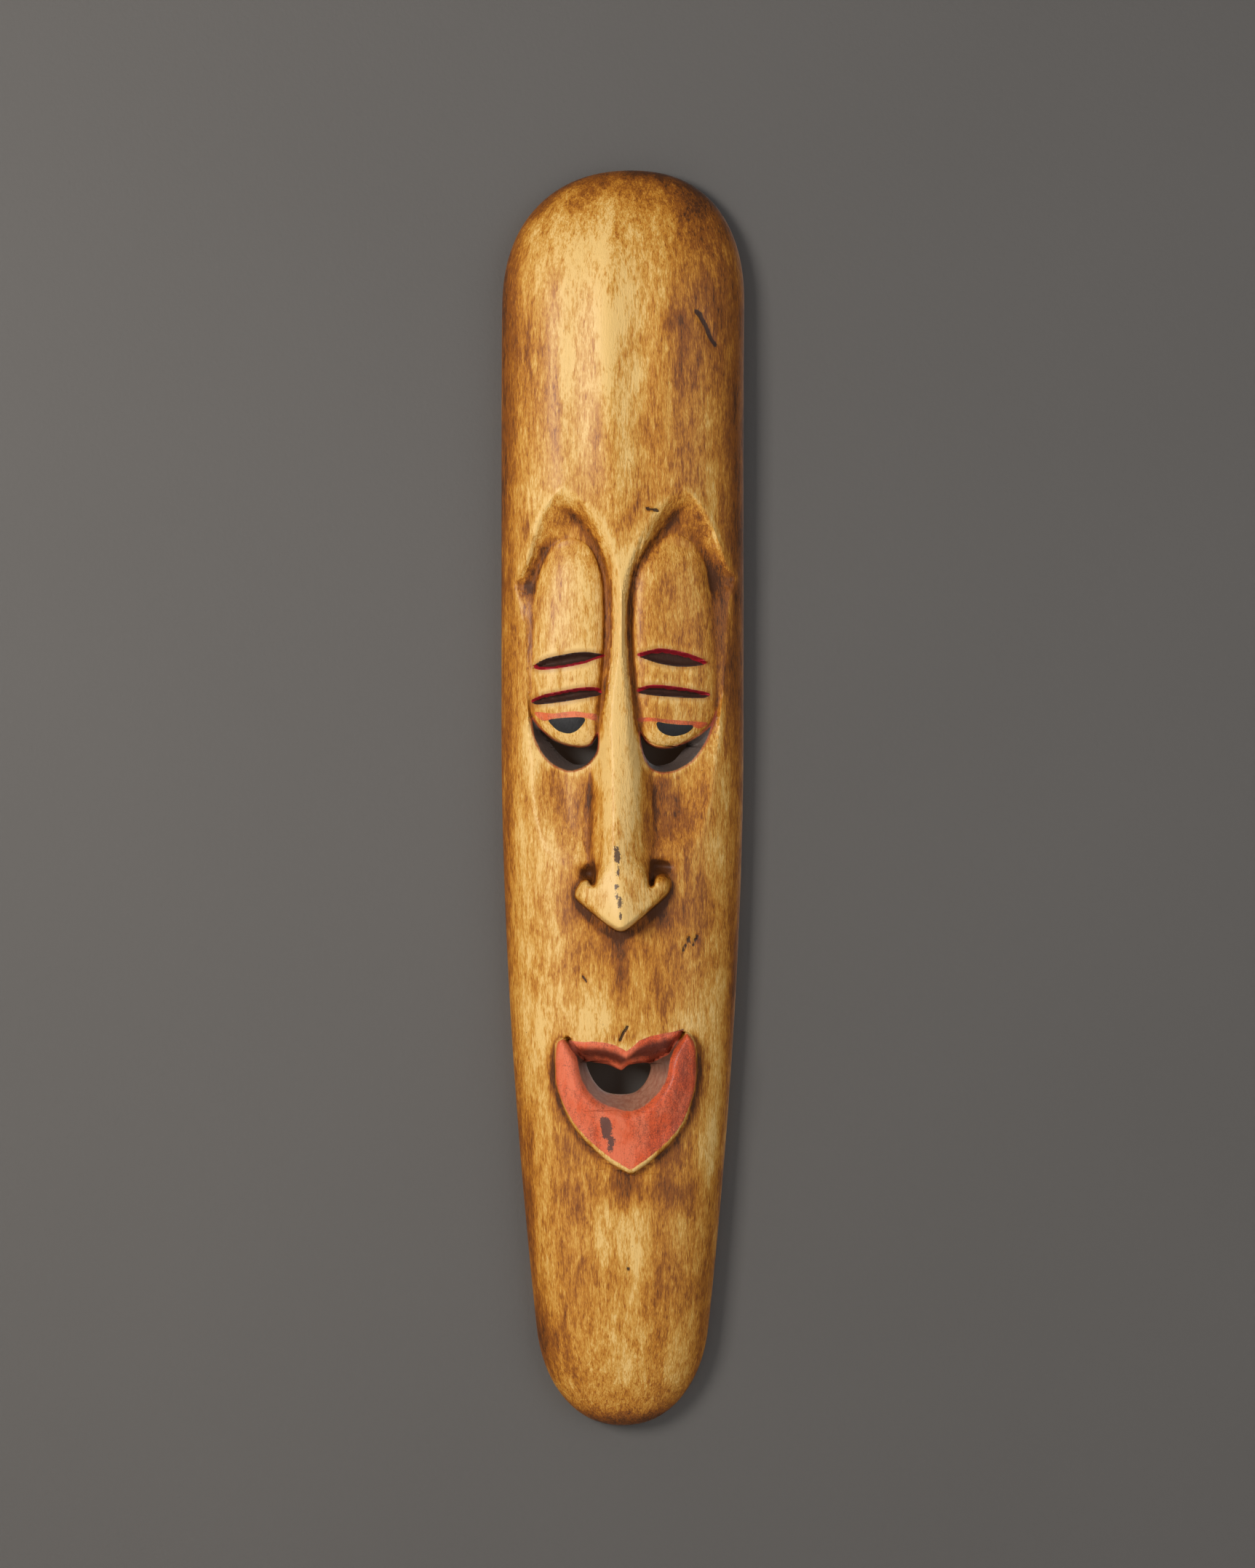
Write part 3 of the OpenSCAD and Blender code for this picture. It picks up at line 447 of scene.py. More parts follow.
def extent(outline, t):
    """The leftmost and rightmost x of an outline at t."""
    a, b = outline, np.roll(outline, -1, 0)
    hit = (a[:, 1] > t) != (b[:, 1] > t)
    a, b = a[hit], b[hit]
    if not len(a):
        return 0.0, 0.0
    x = a[:, 0] + (t - a[:, 1]) * (b[:, 0] - a[:, 0]) / (b[:, 1] - a[:, 1])
    return x.min(), x.max()


def guides(t, side):
    """Where the columns' guides are at t, from the middle outwards."""
    left = side < 0
    eye = 258 < t < 556
    rest = [np.interp(t, *np.array(line).T) for line in GUIDE_REST]
    if t > 640:
        near, inner, outer = (extent(rounded(line), t) for line in (MOUTH_HOLE, MOUTH, LOWER_LIP))
        found = [-pair[0] if left else pair[1] for pair in (near, inner, outer)]
    else:
        lid = extent(rounded(LID_LEFT if left else LID_RIGHT), t)
        found = [0.0, -lid[1] if left else lid[0], -lid[0] if left else lid[1]]
    if eye:
        found[0] = float(along(NOSE_LEFT if left else NOSE_RIGHT, t))
    elif 575 < t < 606:
        tip = extent(rounded(NOSE_TIP), t)
        found[0] = max(-tip[0] if left else tip[1], 11.0)
    ridge = float(along(RIDGE_LEFT if left else RIDGE_RIGHT, t)) if eye and t < 546 else rest[3]
    edge = float(half_width(t))
    places = [edge, min(ridge, 0.94 * edge)]
    for value, fallback, share in zip(found[::-1], rest[2::-1], (0.955, 0.93, 0.93)):
        places.append(min(value if value > 3 else fallback, share * places[-1]))
    return [0.0] + places[::-1]


def row_of_columns(t):
    halves = []
    for side in (-1, 1):
        stops = guides(t, side)
        xs = []
        for k, count in enumerate(COLUMN_STEPS):
            v = np.arange(1, count + 1) / count
            if k == len(COLUMN_STEPS) - 1:
                v = 1 - (1 - v)**1.6
            xs.append(stops[k] + (stops[k + 1] - stops[k]) * v)
        halves.append(side * np.concatenate(xs))
    return middle(t) + np.concatenate([halves[0][::-1], [0.0], halves[1]])


# ---------------------------------------------------------------- making meshes

def activate(obj):
    bpy.ops.object.select_all(action="DESELECT")
    obj.select_set(True)
    bpy.context.view_layer.objects.active = obj


def edit(obj):
    activate(obj)
    bpy.ops.object.mode_set(mode="EDIT")


def finish_edit():
    bpy.ops.object.mode_set(mode="OBJECT")


def place_vertices(obj, x, y, z):
    """Put a mesh's vertices at these millimetre places."""
    places = np.stack([np.ravel(x), np.ravel(y), np.ravel(z)], 1) * MM
    obj.data.vertices.foreach_set("co", places.astype(np.float32).ravel())
    obj.data.update()


def vertex_places(obj):
    places = np.zeros(len(obj.data.vertices) * 3, np.float32)
    obj.data.vertices.foreach_get("co", places)
    return places.reshape(-1, 3).T.astype(float) / MM


def grid(name, columns, rows):
    bpy.ops.object.select_all(action="DESELECT")
    bpy.ops.mesh.primitive_grid_add(x_subdivisions=columns - 1, y_subdivisions=rows - 1, size=1)
    obj = bpy.context.object
    obj.name = name
    obj.data.name = name
    return obj


def close_towards_wall(obj, wall_y):
    """Drop a sheet's border straight back to the plane y = wall_y and fill it."""
    edit(obj)
    bpy.ops.mesh.select_mode(type="EDGE")
    bpy.ops.mesh.select_all(action="DESELECT")
    bpy.ops.mesh.select_non_manifold()
    bpy.ops.mesh.extrude_region_move(TRANSFORM_OT_translate={"value": (0, 0, 0)})
    bpy.ops.transform.resize(value=(1, 0, 1), center_override=(0, wall_y * MM, 0))
    bpy.ops.mesh.edge_face_add()
    bpy.ops.mesh.select_all(action="SELECT")
    bpy.ops.mesh.normals_make_consistent(inside=False)
    finish_edit()


def prism(name, outline, near, far):
    """A straight cutter with an outline in x and t, from one height to another."""
    bpy.ops.object.select_all(action="DESELECT")
    bpy.ops.mesh.primitive_circle_add(vertices=len(outline), fill_type="NGON", radius=1)
    obj = bpy.context.object
    obj.name = name
    place_vertices(obj, outline[:, 0], np.full(len(outline), -near), HANG_DROP - outline[:, 1])
    edit(obj)
    bpy.ops.mesh.select_all(action="SELECT")
    bpy.ops.mesh.extrude_region_move(TRANSFORM_OT_translate={"value": (0, (near - far) * MM, 0)})
    bpy.ops.mesh.select_all(action="SELECT")
    bpy.ops.mesh.normals_make_consistent(inside=False)
    finish_edit()
    return obj


def cut(obj, cutter):
    activate(obj)
    boolean = obj.modifiers.new("cut", "BOOLEAN")
    boolean.operation = "DIFFERENCE"
    boolean.solver = "MANIFOLD"
    boolean.object = cutter
    bpy.ops.object.modifier_apply(modifier=boolean.name)
    bpy.data.objects.remove(cutter)


def smooth_shade(obj, degrees):
    activate(obj)
    bpy.ops.object.shade_smooth_by_angle(angle=math.radians(degrees))
    obj.select_set(False)


# ---------------------------------------------------------------- the mask

def front_sheet():
    x = np.array([row_of_columns(t) for t in ROWS])
    t = np.repeat(ROWS[:, None], x.shape[1], 1)
    sheet = grid("mask", x.shape[1], x.shape[0])
    height = carved(x, t)
    place_vertices(sheet, x, -height, HANG_DROP - t)
    return sheet


HOLLOW_COLUMNS = 60
HOLLOW_ROWS = 190


def hollow_cutter():
    """The hollow gouged out behind, with the scallops that the gouge left."""
    turn = np.linspace(0, math.pi, HOLLOW_ROWS)
    t = LENGTH / 2 - (LENGTH / 2 - RIM_WALL - 0.5) * np.cos(turn)
    half = ((side_line(t) - RIM_WALL) * end_cap((t - RIM_WALL) / (HEAD_END - RIM_WALL), END_CURVE)
            * end_cap((LENGTH - RIM_WALL - t) / (CHIN_END - RIM_WALL), END_CURVE))
    deepest = (27 + 9 * (1 - ramp(t, 215, 300))) * np.minimum(1, np.sin(turn) * 1.5 + 0.1)
    v = np.cos(np.linspace(math.pi, 0, HOLLOW_COLUMNS))[None, :]
    x = middle(t)[:, None] + v * half[:, None]
    rows = np.repeat(t[:, None], HOLLOW_COLUMNS, 1)
    height = deepest[:, None] * (1 - np.abs(v)**2.6)**0.5
    lane = x / 11 + 0.25 * np.sin(rows / 57)
    stroke = rows / 46 + 0.37 * np.floor(lane) + 0.1 * np.sin(lane * 9)
    scallop = (2 * (lane % 1) - 1)**2 + 0.55 * (2 * (stroke % 1) - 1)**2
    height = height - 0.75 * scallop * ramp(height, 4, 14)
    cutter = grid("hollow", HOLLOW_COLUMNS, HOLLOW_ROWS)
    place_vertices(cutter, x, -height, HANG_DROP - rows)
    close_towards_wall(cutter, 3)
    return cutter


def notch_cutter():
    """Room for the batten, a little larger than it on every side."""
    low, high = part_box("hanger_batten")
    gap = 0.2 * MM
    bpy.ops.object.select_all(action="DESELECT")
    bpy.ops.mesh.primitive_cube_add(size=1, location=(0, 0, 0))
    cutter = bpy.context.object
    corners = [(low.x - gap, low.y, low.z - gap), (high.x + gap, 3 * MM, high.z + gap)]
    unit = vertex_places(cutter) * MM + 0.5
    place = [(corners[0][i] + unit[i] * (corners[1][i] - corners[0][i])) / MM for i in range(3)]
    place_vertices(cutter, *place)
    return cutter


def surface_marks(obj):
    """Store on the mask's points what its paint needs to know, mostly distances in mm."""
    x, y, z = vertex_places(obj)
    t = HANG_DROP - z
    height = carved(x, t)
    marks = {}
    rim = half_width(t) - np.abs(x - middle(t))
    rim = np.minimum(rim, np.minimum(t, LENGTH - t) * 1.2)
    marks["front"] = np.maximum(ramp(-y - height, -6, -3.5), 1 - ramp(rim, 1.0, 2.5))
    marks["rim"] = rim
    # Glaze patches, with painted shadow under the lower lip and nose among them.
    marks["stain_and_shade"] = blobs(x, t, STAINS_AND_SHADE)
    # Worn pale paint, with painted highlights on the forehead among the patches.
    marks["pale_and_highlight"] = blobs(x, t, PALE_AND_HIGHLIGHTS)
    marks["relief"] = local_relief(x, t)
    marks["well"] = within(x, t, rounded(MOUTH))
    marks["lower_lip"] = within(x, t, rounded(LOWER_LIP))
    top = np.interp(x, *np.array(UPPER_LIP_EDGE).T)
    bottom = np.interp(x, *np.array(UPPER_LIP_LOW).T)
    inside_mouth = (x > -44) & (x < 49.5)
    marks["upper_lip"] = np.where(inside_mouth, np.minimum(t - top, bottom + 0.5 - t), -20)
    marks["lid_band"] = np.maximum(*(within(x, t, rounded(line)) for line in LID_BANDS))
    marks["pupil"] = np.maximum(*(within(x, t, rounded(line)) for line in PUPILS))
    marks["slit"] = np.max([within(x, t, rounded(line, 5)) for line, _, _, _ in SLITS], 0)
    red = np.full(x.shape, -20.0)
    for outline, count, edge, width in SLITS:
        points = outline[:count] if edge == "upper" else outline[count - 1:] + outline[:1]
        red = np.maximum(red, width - off_line(x, t, points, 22))
    marks["crimson"] = red
    rims = [within(x, t, rounded(line)) for line in EYE_RIMS]
    lids = [within(x, t, rounded(line)) for line in (LID_LEFT, LID_RIGHT)]
    marks["eye_pit"] = np.maximum(*(np.minimum(a, -b) for a, b in zip(rims, lids)))
    marks["crack"] = np.max([width / 2 - off_line(x, t, line, 12) for width, line in CRACKS], 0)
    marks["nose_scuff"] = blobs(x, t, NOSE_SCUFFS)
    marks["lip_scuff"] = blobs(x, t, LIP_SCUFFS)
    for name, values in marks.items():
        store = obj.data.attributes.new(name, "FLOAT", "POINT")
        store.data.foreach_set("value", values.astype(np.float32))


def blur(values, sigma):
    """Soften a table of heights."""
    reach = int(3 * sigma)
    kernel = np.exp(-np.arange(-reach, reach + 1)**2 / (2 * sigma**2))
    kernel /= kernel.sum()
    for axis in (0, 1):
        padded = np.pad(values, [(reach, reach) if a == axis else (0, 0) for a in (0, 1)], "edge")
        values = sum(w * np.take(padded, range(i, i + values.shape[axis]), axis)
                     for i, w in enumerate(kernel))
    return values


def local_relief(x, t):
    """How far the carving stands above its own surroundings, in mm: above 0 on a crest,
    below 0 in a crease."""
    step = 1.6
    cols = np.arange(-100, 100 + step, step)
    rows = np.arange(0.5, LENGTH, step)
    gx, gt = np.meshgrid(cols, rows)
    edge = half_width(gt) - np.abs(gx - middle(gt))
    height = np.where(edge > 0, carved(gx, gt), RIM_HEIGHT)

    smooth_block = np.where(edge > 0, block(gx, gt), RIM_HEIGHT)
    detail = height - smooth_block
    relief = 0.55 * (detail - blur(detail, 2.5)) + 0.45 * (detail - blur(detail, 6))
    u = np.clip((x - cols[0]) / step, 0, len(cols) - 1.001)
    v = np.clip((t - rows[0]) / step, 0, len(rows) - 1.001)
    i, j = u.astype(int), v.astype(int)
    fu, fv = u - i, v - j
    return ((relief[j, i] * (1 - fu) + relief[j, i + 1] * fu) * (1 - fv)
            + (relief[j + 1, i] * (1 - fu) + relief[j + 1, i + 1] * fu) * fv)


def make_mask():
    mask = front_sheet()
    close_towards_wall(mask, 0)
    cut(mask, hollow_cutter())
    for i, outline in enumerate(EYE_HOLES + [MOUTH_HOLE]):
        cut(mask, prism(f"hole_{i}", rounded(outline, 8), 80, 2))
    cut(mask, notch_cutter())
    surface_marks(mask)
    smooth_shade(mask, 38)
    return mask


# ---------------------------------------------------------------- shader building

def srgb(red, green, blue):
    """A colour of 0 to 255 screen values, as the shader's linear numbers."""
    return tuple(((c / 255 + 0.055) / 1.055)**2.4 if c > 10 else c / 255 / 12.92
                 for c in (red, green, blue)) + (1.0,)


class Wire:
    """A socket that takes part in sums; each sum adds its Math node."""

    def __init__(self, finish, socket):
        self.finish = finish
        self.socket = socket

    def maths(self, operation, first, second):
        return self.finish.node("ShaderNodeMath", {"operation": operation}, {0: first, 1: second})

    def __add__(self, other):
        return self.maths("ADD", self, other)

    def __sub__(self, other):
        return self.maths("SUBTRACT", self, other)

    def __rsub__(self, other):
        return self.maths("SUBTRACT", other, self)

    def __mul__(self, other):
        return self.maths("MULTIPLY", self, other)

    __radd__ = __add__
    __rmul__ = __mul__


class Finish:
    """A material and the nodes that make it."""

    def __init__(self, name):
        self.material = bpy.data.materials.new(name)
        self.material.use_nodes = True
        self.tree = self.material.node_tree
        self.shader = self.tree.nodes["Principled BSDF"]
        self.object = self.node("ShaderNodeTexCoord", {}, {}, "Object")

    def node(self, kind, settings, inputs, output=0):
        made = self.tree.nodes.new(kind)
        for name, value in settings.items():
            setattr(made, name, value)
        for name, value in inputs.items():
            self.join(made.inputs[name], value)
        return Wire(self, made.outputs[output])

    def join(self, socket, value):
        if isinstance(value, Wire):
            self.tree.links.new(value.socket, socket)
        else:
            socket.default_value = value

    def set(self, **values):
        for name, value in values.items():
            self.join(self.shader.inputs[name.replace("_", " ").title().replace("Ior", "IOR")], value)

    def mark(self, name):
        return self.node("ShaderNodeAttribute", {"attribute_name": name}, {}, "Fac")

    def stretch(self, *scale):
        return self.node("ShaderNodeMapping", {}, {"Vector": self.object, "Scale": scale})

    def shift(self, vector, offset):
        return self.node("ShaderNodeVectorMath", {"operation": "ADD"}, {0: vector, 1: offset})

    def noise(self, vector, scale, detail=4.0, rough=0.55, bend=0.0):
        return self.node("ShaderNodeTexNoise", {}, {"Vector": vector, "Scale": scale, "Detail": detail,
                                                    "Roughness": rough, "Distortion": bend}, "Fac")

    def step(self, value, low, high):
        return self.node("ShaderNodeMapRange", {"interpolation_type": "SMOOTHSTEP"},
                         {"Value": value, "From Min": low, "From Max": high})

    def mix(self, share, first, second):
        return self.node("ShaderNodeMix", {"data_type": "RGBA", "clamp_factor": True},
                         {0: share, 6: first, 7: second}, 2)

    def place(self, axis):
        """Where a point is along X, Y or Z, in metres."""
        return self.node("ShaderNodeSeparateXYZ", {}, {0: self.object}, axis)

    def bump(self, height, strength, distance):
        return self.node("ShaderNodeBump", {}, {"Height": height, "Strength": strength,
                                                "Distance": distance})


# ---------------------------------------------------------------- finishes

CREAM = srgb(236, 194, 118)
STRAW = srgb(212, 156, 66)
OCHRE = srgb(190, 122, 30)
UMBER = srgb(142, 78, 8)
BISTRE = srgb(80, 40, 4)
CORAL = srgb(224, 92, 46)
CORAL_PALE = srgb(232, 118, 80)
CRIMSON = srgb(158, 18, 34)
SOOT = srgb(26, 25, 26)
SLIT_DARK = srgb(70, 42, 30)
CORAL_RUBBED = srgb(104, 42, 30)
LIP_BARE = srgb(84, 64, 58)
# Painted shadow for the lower part of the upper lip.
LIP_PAINTED_SHADOW = srgb(76, 30, 20)
WELL_BROWN = srgb(146, 92, 70)
WELL_PINK = srgb(164, 116, 92)
WELL_DARK = srgb(60, 40, 30)
SLIT_DEEP = srgb(58, 38, 30)
PIT_LINE = srgb(168, 70, 48)
PIT_BROWN = srgb(78, 66, 60)
CRACK_DARK = srgb(44, 24, 16)
NOSE_BARE = srgb(74, 50, 42)
BARE_WOOD = srgb(150, 108, 66)
BARE_WOOD_DARK = srgb(104, 68, 38)
BARE_WOOD_VEIN = srgb(70, 44, 26)


def brush_work(f):
    """The grain, streaks and blotches that the paint's and glaze's edges follow."""
    grain = f.stretch(1.0, 1.0, 0.22)
    broad = f.stretch(1.0, 1.0, 0.42)
    brush = f.stretch(1.0, 1.0, 0.13)
    return SimpleNamespace(
        hair=f.noise(grain, 1500, 3, 0.6),
        fibre=f.noise(grain, 620, 4, 0.62, 0.3),
        streaks=f.noise(grain, 210, 5, 0.6, 0.5),
        lanes=f.noise(f.stretch(1.0, 1.0, 0.12), 50, 4, 0.55, 0.3),
        cloud=f.noise(broad, 17, 5, 0.6, 0.4),
        mottle=f.noise(broad, 76, 6, 0.68, 0.5),
        grit=f.noise(f.object, 900, 3, 0.7),
        dashes=f.noise(brush, 980, 2, 0.5, 0.2),
        scratches=f.noise(f.shift(brush, (4.1, 2.4, 0.6)), 560, 3, 0.6, 0.3),
        patches=f.noise(f.shift(broad, (3.1, 0.4, 7.7)), 36, 5, 0.64, 0.7),
        dapple=f.noise(f.shift(broad, (1.3, 5.1, 2.9)), 260, 5, 0.66, 0.4))


def glazed_paint(f, work, crease):
    """Cream paint under a brown glaze, which is thick in creases and at the outline."""
    relief = f.mark("relief")
    crease_line = f.step(relief, -1.1, -2.3)
    crest = f.step(relief, 0.2, 1.4)
    edge = f.step(f.mark("rim") + (work.streaks - 0.5) * 18 + (work.cloud - 0.5) * 16, 15, 0)
    # The stain patches bring painted shadow under the lower lip and nose into the brown, along with the
    # glaze.
    brown = f.mark("stain_and_shade") * (work.cloud * 1.2 + work.mottle * 0.8 - 0.1)
    brown = brown + crease * 0.55 + crease_line * 0.5 + edge * 0.5
    brown = brown + (work.patches - 0.5) * 1.7 + (work.lanes - 0.5) * 1.6 + (work.streaks - 0.5) * 1.5
    brown = brown + (work.fibre - 0.5) * 1.5 + (work.hair - 0.5) * 1.2 + 0.12
    dash = f.step(work.dashes + (work.streaks - 0.5) * 0.3 + (work.patches - 0.5) * 0.25, 0.55, 0.66)
    lit = f.step(work.scratches + (work.lanes - 0.5) * 0.3, 0.56, 0.7)
    # The pale patches bring painted highlights on the forehead into the paint, along with worn paint and
    # paler crests.
    pale_and_highlight = f.mark("pale_and_highlight") * (work.cloud + work.mottle * 0.6) + crest * 0.8
    brown = brown + dash * 0.3 - lit * 0.22 - pale_and_highlight * 0.62

    paint = f.mix(f.step(brown, -0.45, 0.1), CREAM, STRAW)
    paint = f.mix(f.step(brown, 0.0, 0.5), paint, OCHRE)
    paint = f.mix(f.step(brown, 0.36, 1.0), paint, UMBER)
    paint = f.mix(f.step(brown, 0.95, 1.7), paint, BISTRE)
    specks = f.step(work.grit + (work.dapple - 0.5) * 0.6 + (work.mottle - 0.5) * 0.5, 0.68, 0.8)
    return f.mix(specks * 0.45, paint, UMBER)


def coral_paint(f, work, crease):
    """Coral with the glaze rubbed into it, and darker towards the right."""
    right = f.step(f.place("X"), -0.002, 0.03)
    coral = f.mix(f.step(work.mottle - right * 0.14, 0.3, 0.56), CORAL, CORAL_PALE)
    rub = work.patches * 0.6 + work.dapple * 0.6 + (work.grit - 0.5) * 0.8 + crease * 0.4 + right * 0.1
    coral = f.mix(f.step(rub, 0.54, 0.9) * 0.72, coral, CORAL_RUBBED)
    worn = f.mark("lip_scuff") + (work.grit - 0.5) * 1.8 + (work.dapple - 0.5) * 1.8
    return f.mix(f.step(worn, 0.5, 0.68) * 0.9, coral, LIP_BARE)


def lip_paint(f, work, wobble, paint, coral):
    """The two lips and the inside of the mouth, with a bare edge low on the lower lip and painted shadow on
    the lower part of the upper lip.
    """
    well = f.mark("well")
    upper = f.mark("upper_lip")
    bare_edge = f.step(f.place("Z"), -0.59, -0.65) * 3.4
    lip_zone = f.step(f.mark("lower_lip") + wobble - 0.6 - bare_edge, 0.0, 0.6)
    paint = f.mix(lip_zone, paint, coral)
    # The top of the inside of the mouth, under the upper lip, is painted darker.
    well_top = f.step(f.place("Z"), -0.59, -0.57)
    well_paint = f.mix(f.step(work.dapple, 0.35, 0.65), WELL_BROWN, WELL_PINK)
    well_paint = f.mix(well_top * 0.8, well_paint, WELL_DARK)
    paint = f.mix(f.step(well + wobble * 0.8, 0.2, 1.2), paint, well_paint)
    # The lower part of the upper lip is painted darker, as its shadow.
    under = f.mix(f.step(upper + wobble, 2.5, 8.0) * 0.9, coral, LIP_PAINTED_SHADOW)
    return f.mix(f.step(upper + wobble * 0.5, -0.2, 0.5), paint, under)


def lid_paint(f, work, wobble, paint, coral):
    """Coral band, black pupils, the dark cuts with their crimson edges and a painted brown shadow round each
    cut, and the eye pits.
    """
    paint = f.mix(f.step(f.mark("lid_band") + wobble * 0.3, -0.25, 0.25) * 0.9, paint, coral)
    paint = f.mix(f.step(f.mark("pupil") + wobble * 0.22, -0.2, 0.2), paint, SOOT)
    slit = f.mark("slit")
    # A brown band painted round each cut stands for its shadow.
    paint = f.mix(f.step(slit + wobble * 0.5, -4.5, -0.3) * 0.45, paint, UMBER)
    red = f.step(f.mark("crimson") + wobble * 0.45, -0.15, 0.3)
    cut_colour = f.mix(red, f.mix(work.dapple, SLIT_DARK, SLIT_DEEP), CRIMSON)
    paint = f.mix(f.step(slit + wobble * 0.35, -0.5, 0.1), paint, cut_colour)
    pit = f.mark("eye_pit")
    red_line = f.step(pit + wobble * 0.6, -1.4, -0.2) * f.step(pit, 1.4, 0.4)
    paint = f.mix(red_line * 0.65, paint, PIT_LINE)
    return f.mix(f.step(pit + wobble * 0.5, 0.1, 1.3), paint, PIT_BROWN)


def damage(f, work, wobble, paint):
    """Cracks in the wood, and paint knocked off the ridge of the nose."""
    paint = f.mix(f.step(f.mark("crack") + wobble * 0.35, -0.35, 0.35) * 0.9, paint, CRACK_DARK)
    worn = f.mark("nose_scuff") + (work.grit - 0.5) * 1.6 + (work.dapple - 0.5) * 1.8
    return f.mix(f.step(worn, 0.5, 0.66) * 0.9, paint, NOSE_BARE)


def bare_wood(f, work):
    raw = f.mix(f.step(work.lanes + (work.fibre - 0.5) * 0.5, 0.3, 0.72), BARE_WOOD, BARE_WOOD_DARK)
    return f.mix(f.step(work.fibre, 0.5, 0.7) * 0.5, raw, BARE_WOOD_VEIN)


def painted_wood():
    f = Finish("painted_wood")
    work = brush_work(f)
    crease = f.step(f.mark("relief"), -0.1, -2.2)
    wobble = (work.dapple - 0.5) * 2.0 + (work.grit - 0.5) * 0.7
    coral = coral_paint(f, work, crease)
    paint = glazed_paint(f, work, crease)
    paint = lip_paint(f, work, wobble, paint, coral)
    paint = lid_paint(f, work, wobble, paint, coral)
    paint = damage(f, work, wobble, paint)
    front = f.mark("front")
    colour = f.mix(f.step(front + (work.dapple - 0.5) * 0.5, 0.35, 0.6), bare_wood(f, work), paint)

    matt = f.step(f.mark("slit"), -0.4, 0.4) * 0.35 + crease * 0.14
    rough = 0.46 + (work.mottle - 0.5) * 0.3 + (work.dapple - 0.5) * 0.35 + matt + (1 - front) * 0.3
    height = work.hair * 0.3 + work.fibre * 0.8 + work.dapple * 0.6 + work.grit * 0.2
    f.set(base_color=colour, roughness=rough, normal=f.bump(height, 0.7, 0.0011),
          coat_weight=front * 0.3 * (1 - crease * 0.8))
    f.shader.inputs["Coat Roughness"].default_value = 0.34
    f.shader.inputs["Specular IOR Level"].default_value = 0.24
    return f.material


def sawn_wood():
    """A planed strip: grain along x, with growth rings."""
    f = Finish("plain_wood")
    long = f.stretch(0.06, 1.0, 1.0)
    fibre = f.noise(long, 700, 5, 0.6)
    ring = f.noise(long, 90, 4, 0.5, 1.2)
    saw = f.noise(f.stretch(1.0, 1.0, 0.05), 260, 2, 0.5)
    colour = f.mix(f.step(ring, 0.38, 0.62), srgb(186, 146, 96), srgb(142, 98, 56))
    colour = f.mix(f.step(fibre, 0.5, 0.72) * 0.5, colour, srgb(96, 62, 34))
    f.set(base_color=colour, roughness=0.62 + (fibre - 0.5) * 0.2,
          normal=f.bump(fibre * 0.5 + saw * 0.4, 0.5, 0.0004))
    return f.material


def plated_steel(name, tone, warm):
    """Zinc plating, with its mottled sheen and some dulling."""
    f = Finish(name)
    spangle = f.noise(f.object, 420, 3, 0.6)
    dull = f.noise(f.shift(f.object, (1.7, 2.2, 0.3)), 150, 5, 0.6)
    scratch = f.noise(f.stretch(1.0, 0.3, 4.0), 900, 2, 0.6)
    colour = f.mix(f.step(spangle, 0.35, 0.7), tone, warm)
    colour = f.mix(f.step(dull, 0.56, 0.74) * 0.6, colour, srgb(120, 104, 84))
    f.set(base_color=colour, roughness=0.3 + spangle * 0.14 + f.step(dull, 0.55, 0.75) * 0.25,
          normal=f.bump(scratch * 0.5 + spangle * 0.5, 0.25, 0.0002))
    f.shader.inputs["Metallic"].default_value = 1.0
    return f.material


# ---------------------------------------------------------------- the wall, floor, light and camera

WALL_SIZE = 5.0
WALL_GAP = 0.0006
FLOOR_DROP = 0.30
# Each lamp: its place from the point it lights, its width and height, power and colour.
# The one behind lights the hollow back when the mask is turned round; the wall lets it through.
LAMPS = {
    "key": ((-1.85, -2.17, 0.7), (0.8, 1.2), 66, (1.0, 0.965, 0.92)),
    "fill": ((2.1, -2.37, 0.3), (2.0, 2.4), 22, (0.95, 0.97, 1.0)),
    "back": ((0.7, 2.23, 0.5), (1.6, 2.0), 30, (1.0, 0.98, 0.95))}
LIT_POINT_Y = -0.03
ROOM_COLOUR = (0.9, 0.93, 1.0, 1.0)
ROOM_LIGHT = 0.24


def wall_paint():
    """Matt grey emulsion put on with a roller. It is seen from the room only."""
    f = Finish("wall_paint")
    stipple = f.noise(f.object, 330, 3, 0.6)
    soft = f.noise(f.object, 2.2, 2, 0.5)
    colour = f.mix(soft, srgb(89, 86, 83), srgb(95, 92, 89))
    f.set(base_color=colour, roughness=0.72, normal=f.bump(stipple, 0.35, 0.0006))
    back = f.node("ShaderNodeNewGeometry", {}, {}, "Backfacing")
    clear = f.node("ShaderNodeBsdfTransparent", {}, {})
    seen = f.node("ShaderNodeMixShader", {}, {0: back, 1: Wire(f, f.shader.outputs[0]), 2: clear})
    f.tree.links.new(seen.socket, f.tree.nodes["Material Output"].inputs["Surface"])
    return f.material


def floor_paint():
    f = Finish("floor_paint")
    tone = f.noise(f.object, 3, 3, 0.5)
    f.set(base_color=f.mix(tone, srgb(205, 203, 200), srgb(214, 212, 209)), roughness=0.8,
          normal=f.bump(f.noise(f.object, 200, 2, 0.5), 0.1, 0.0005))
    return f.material


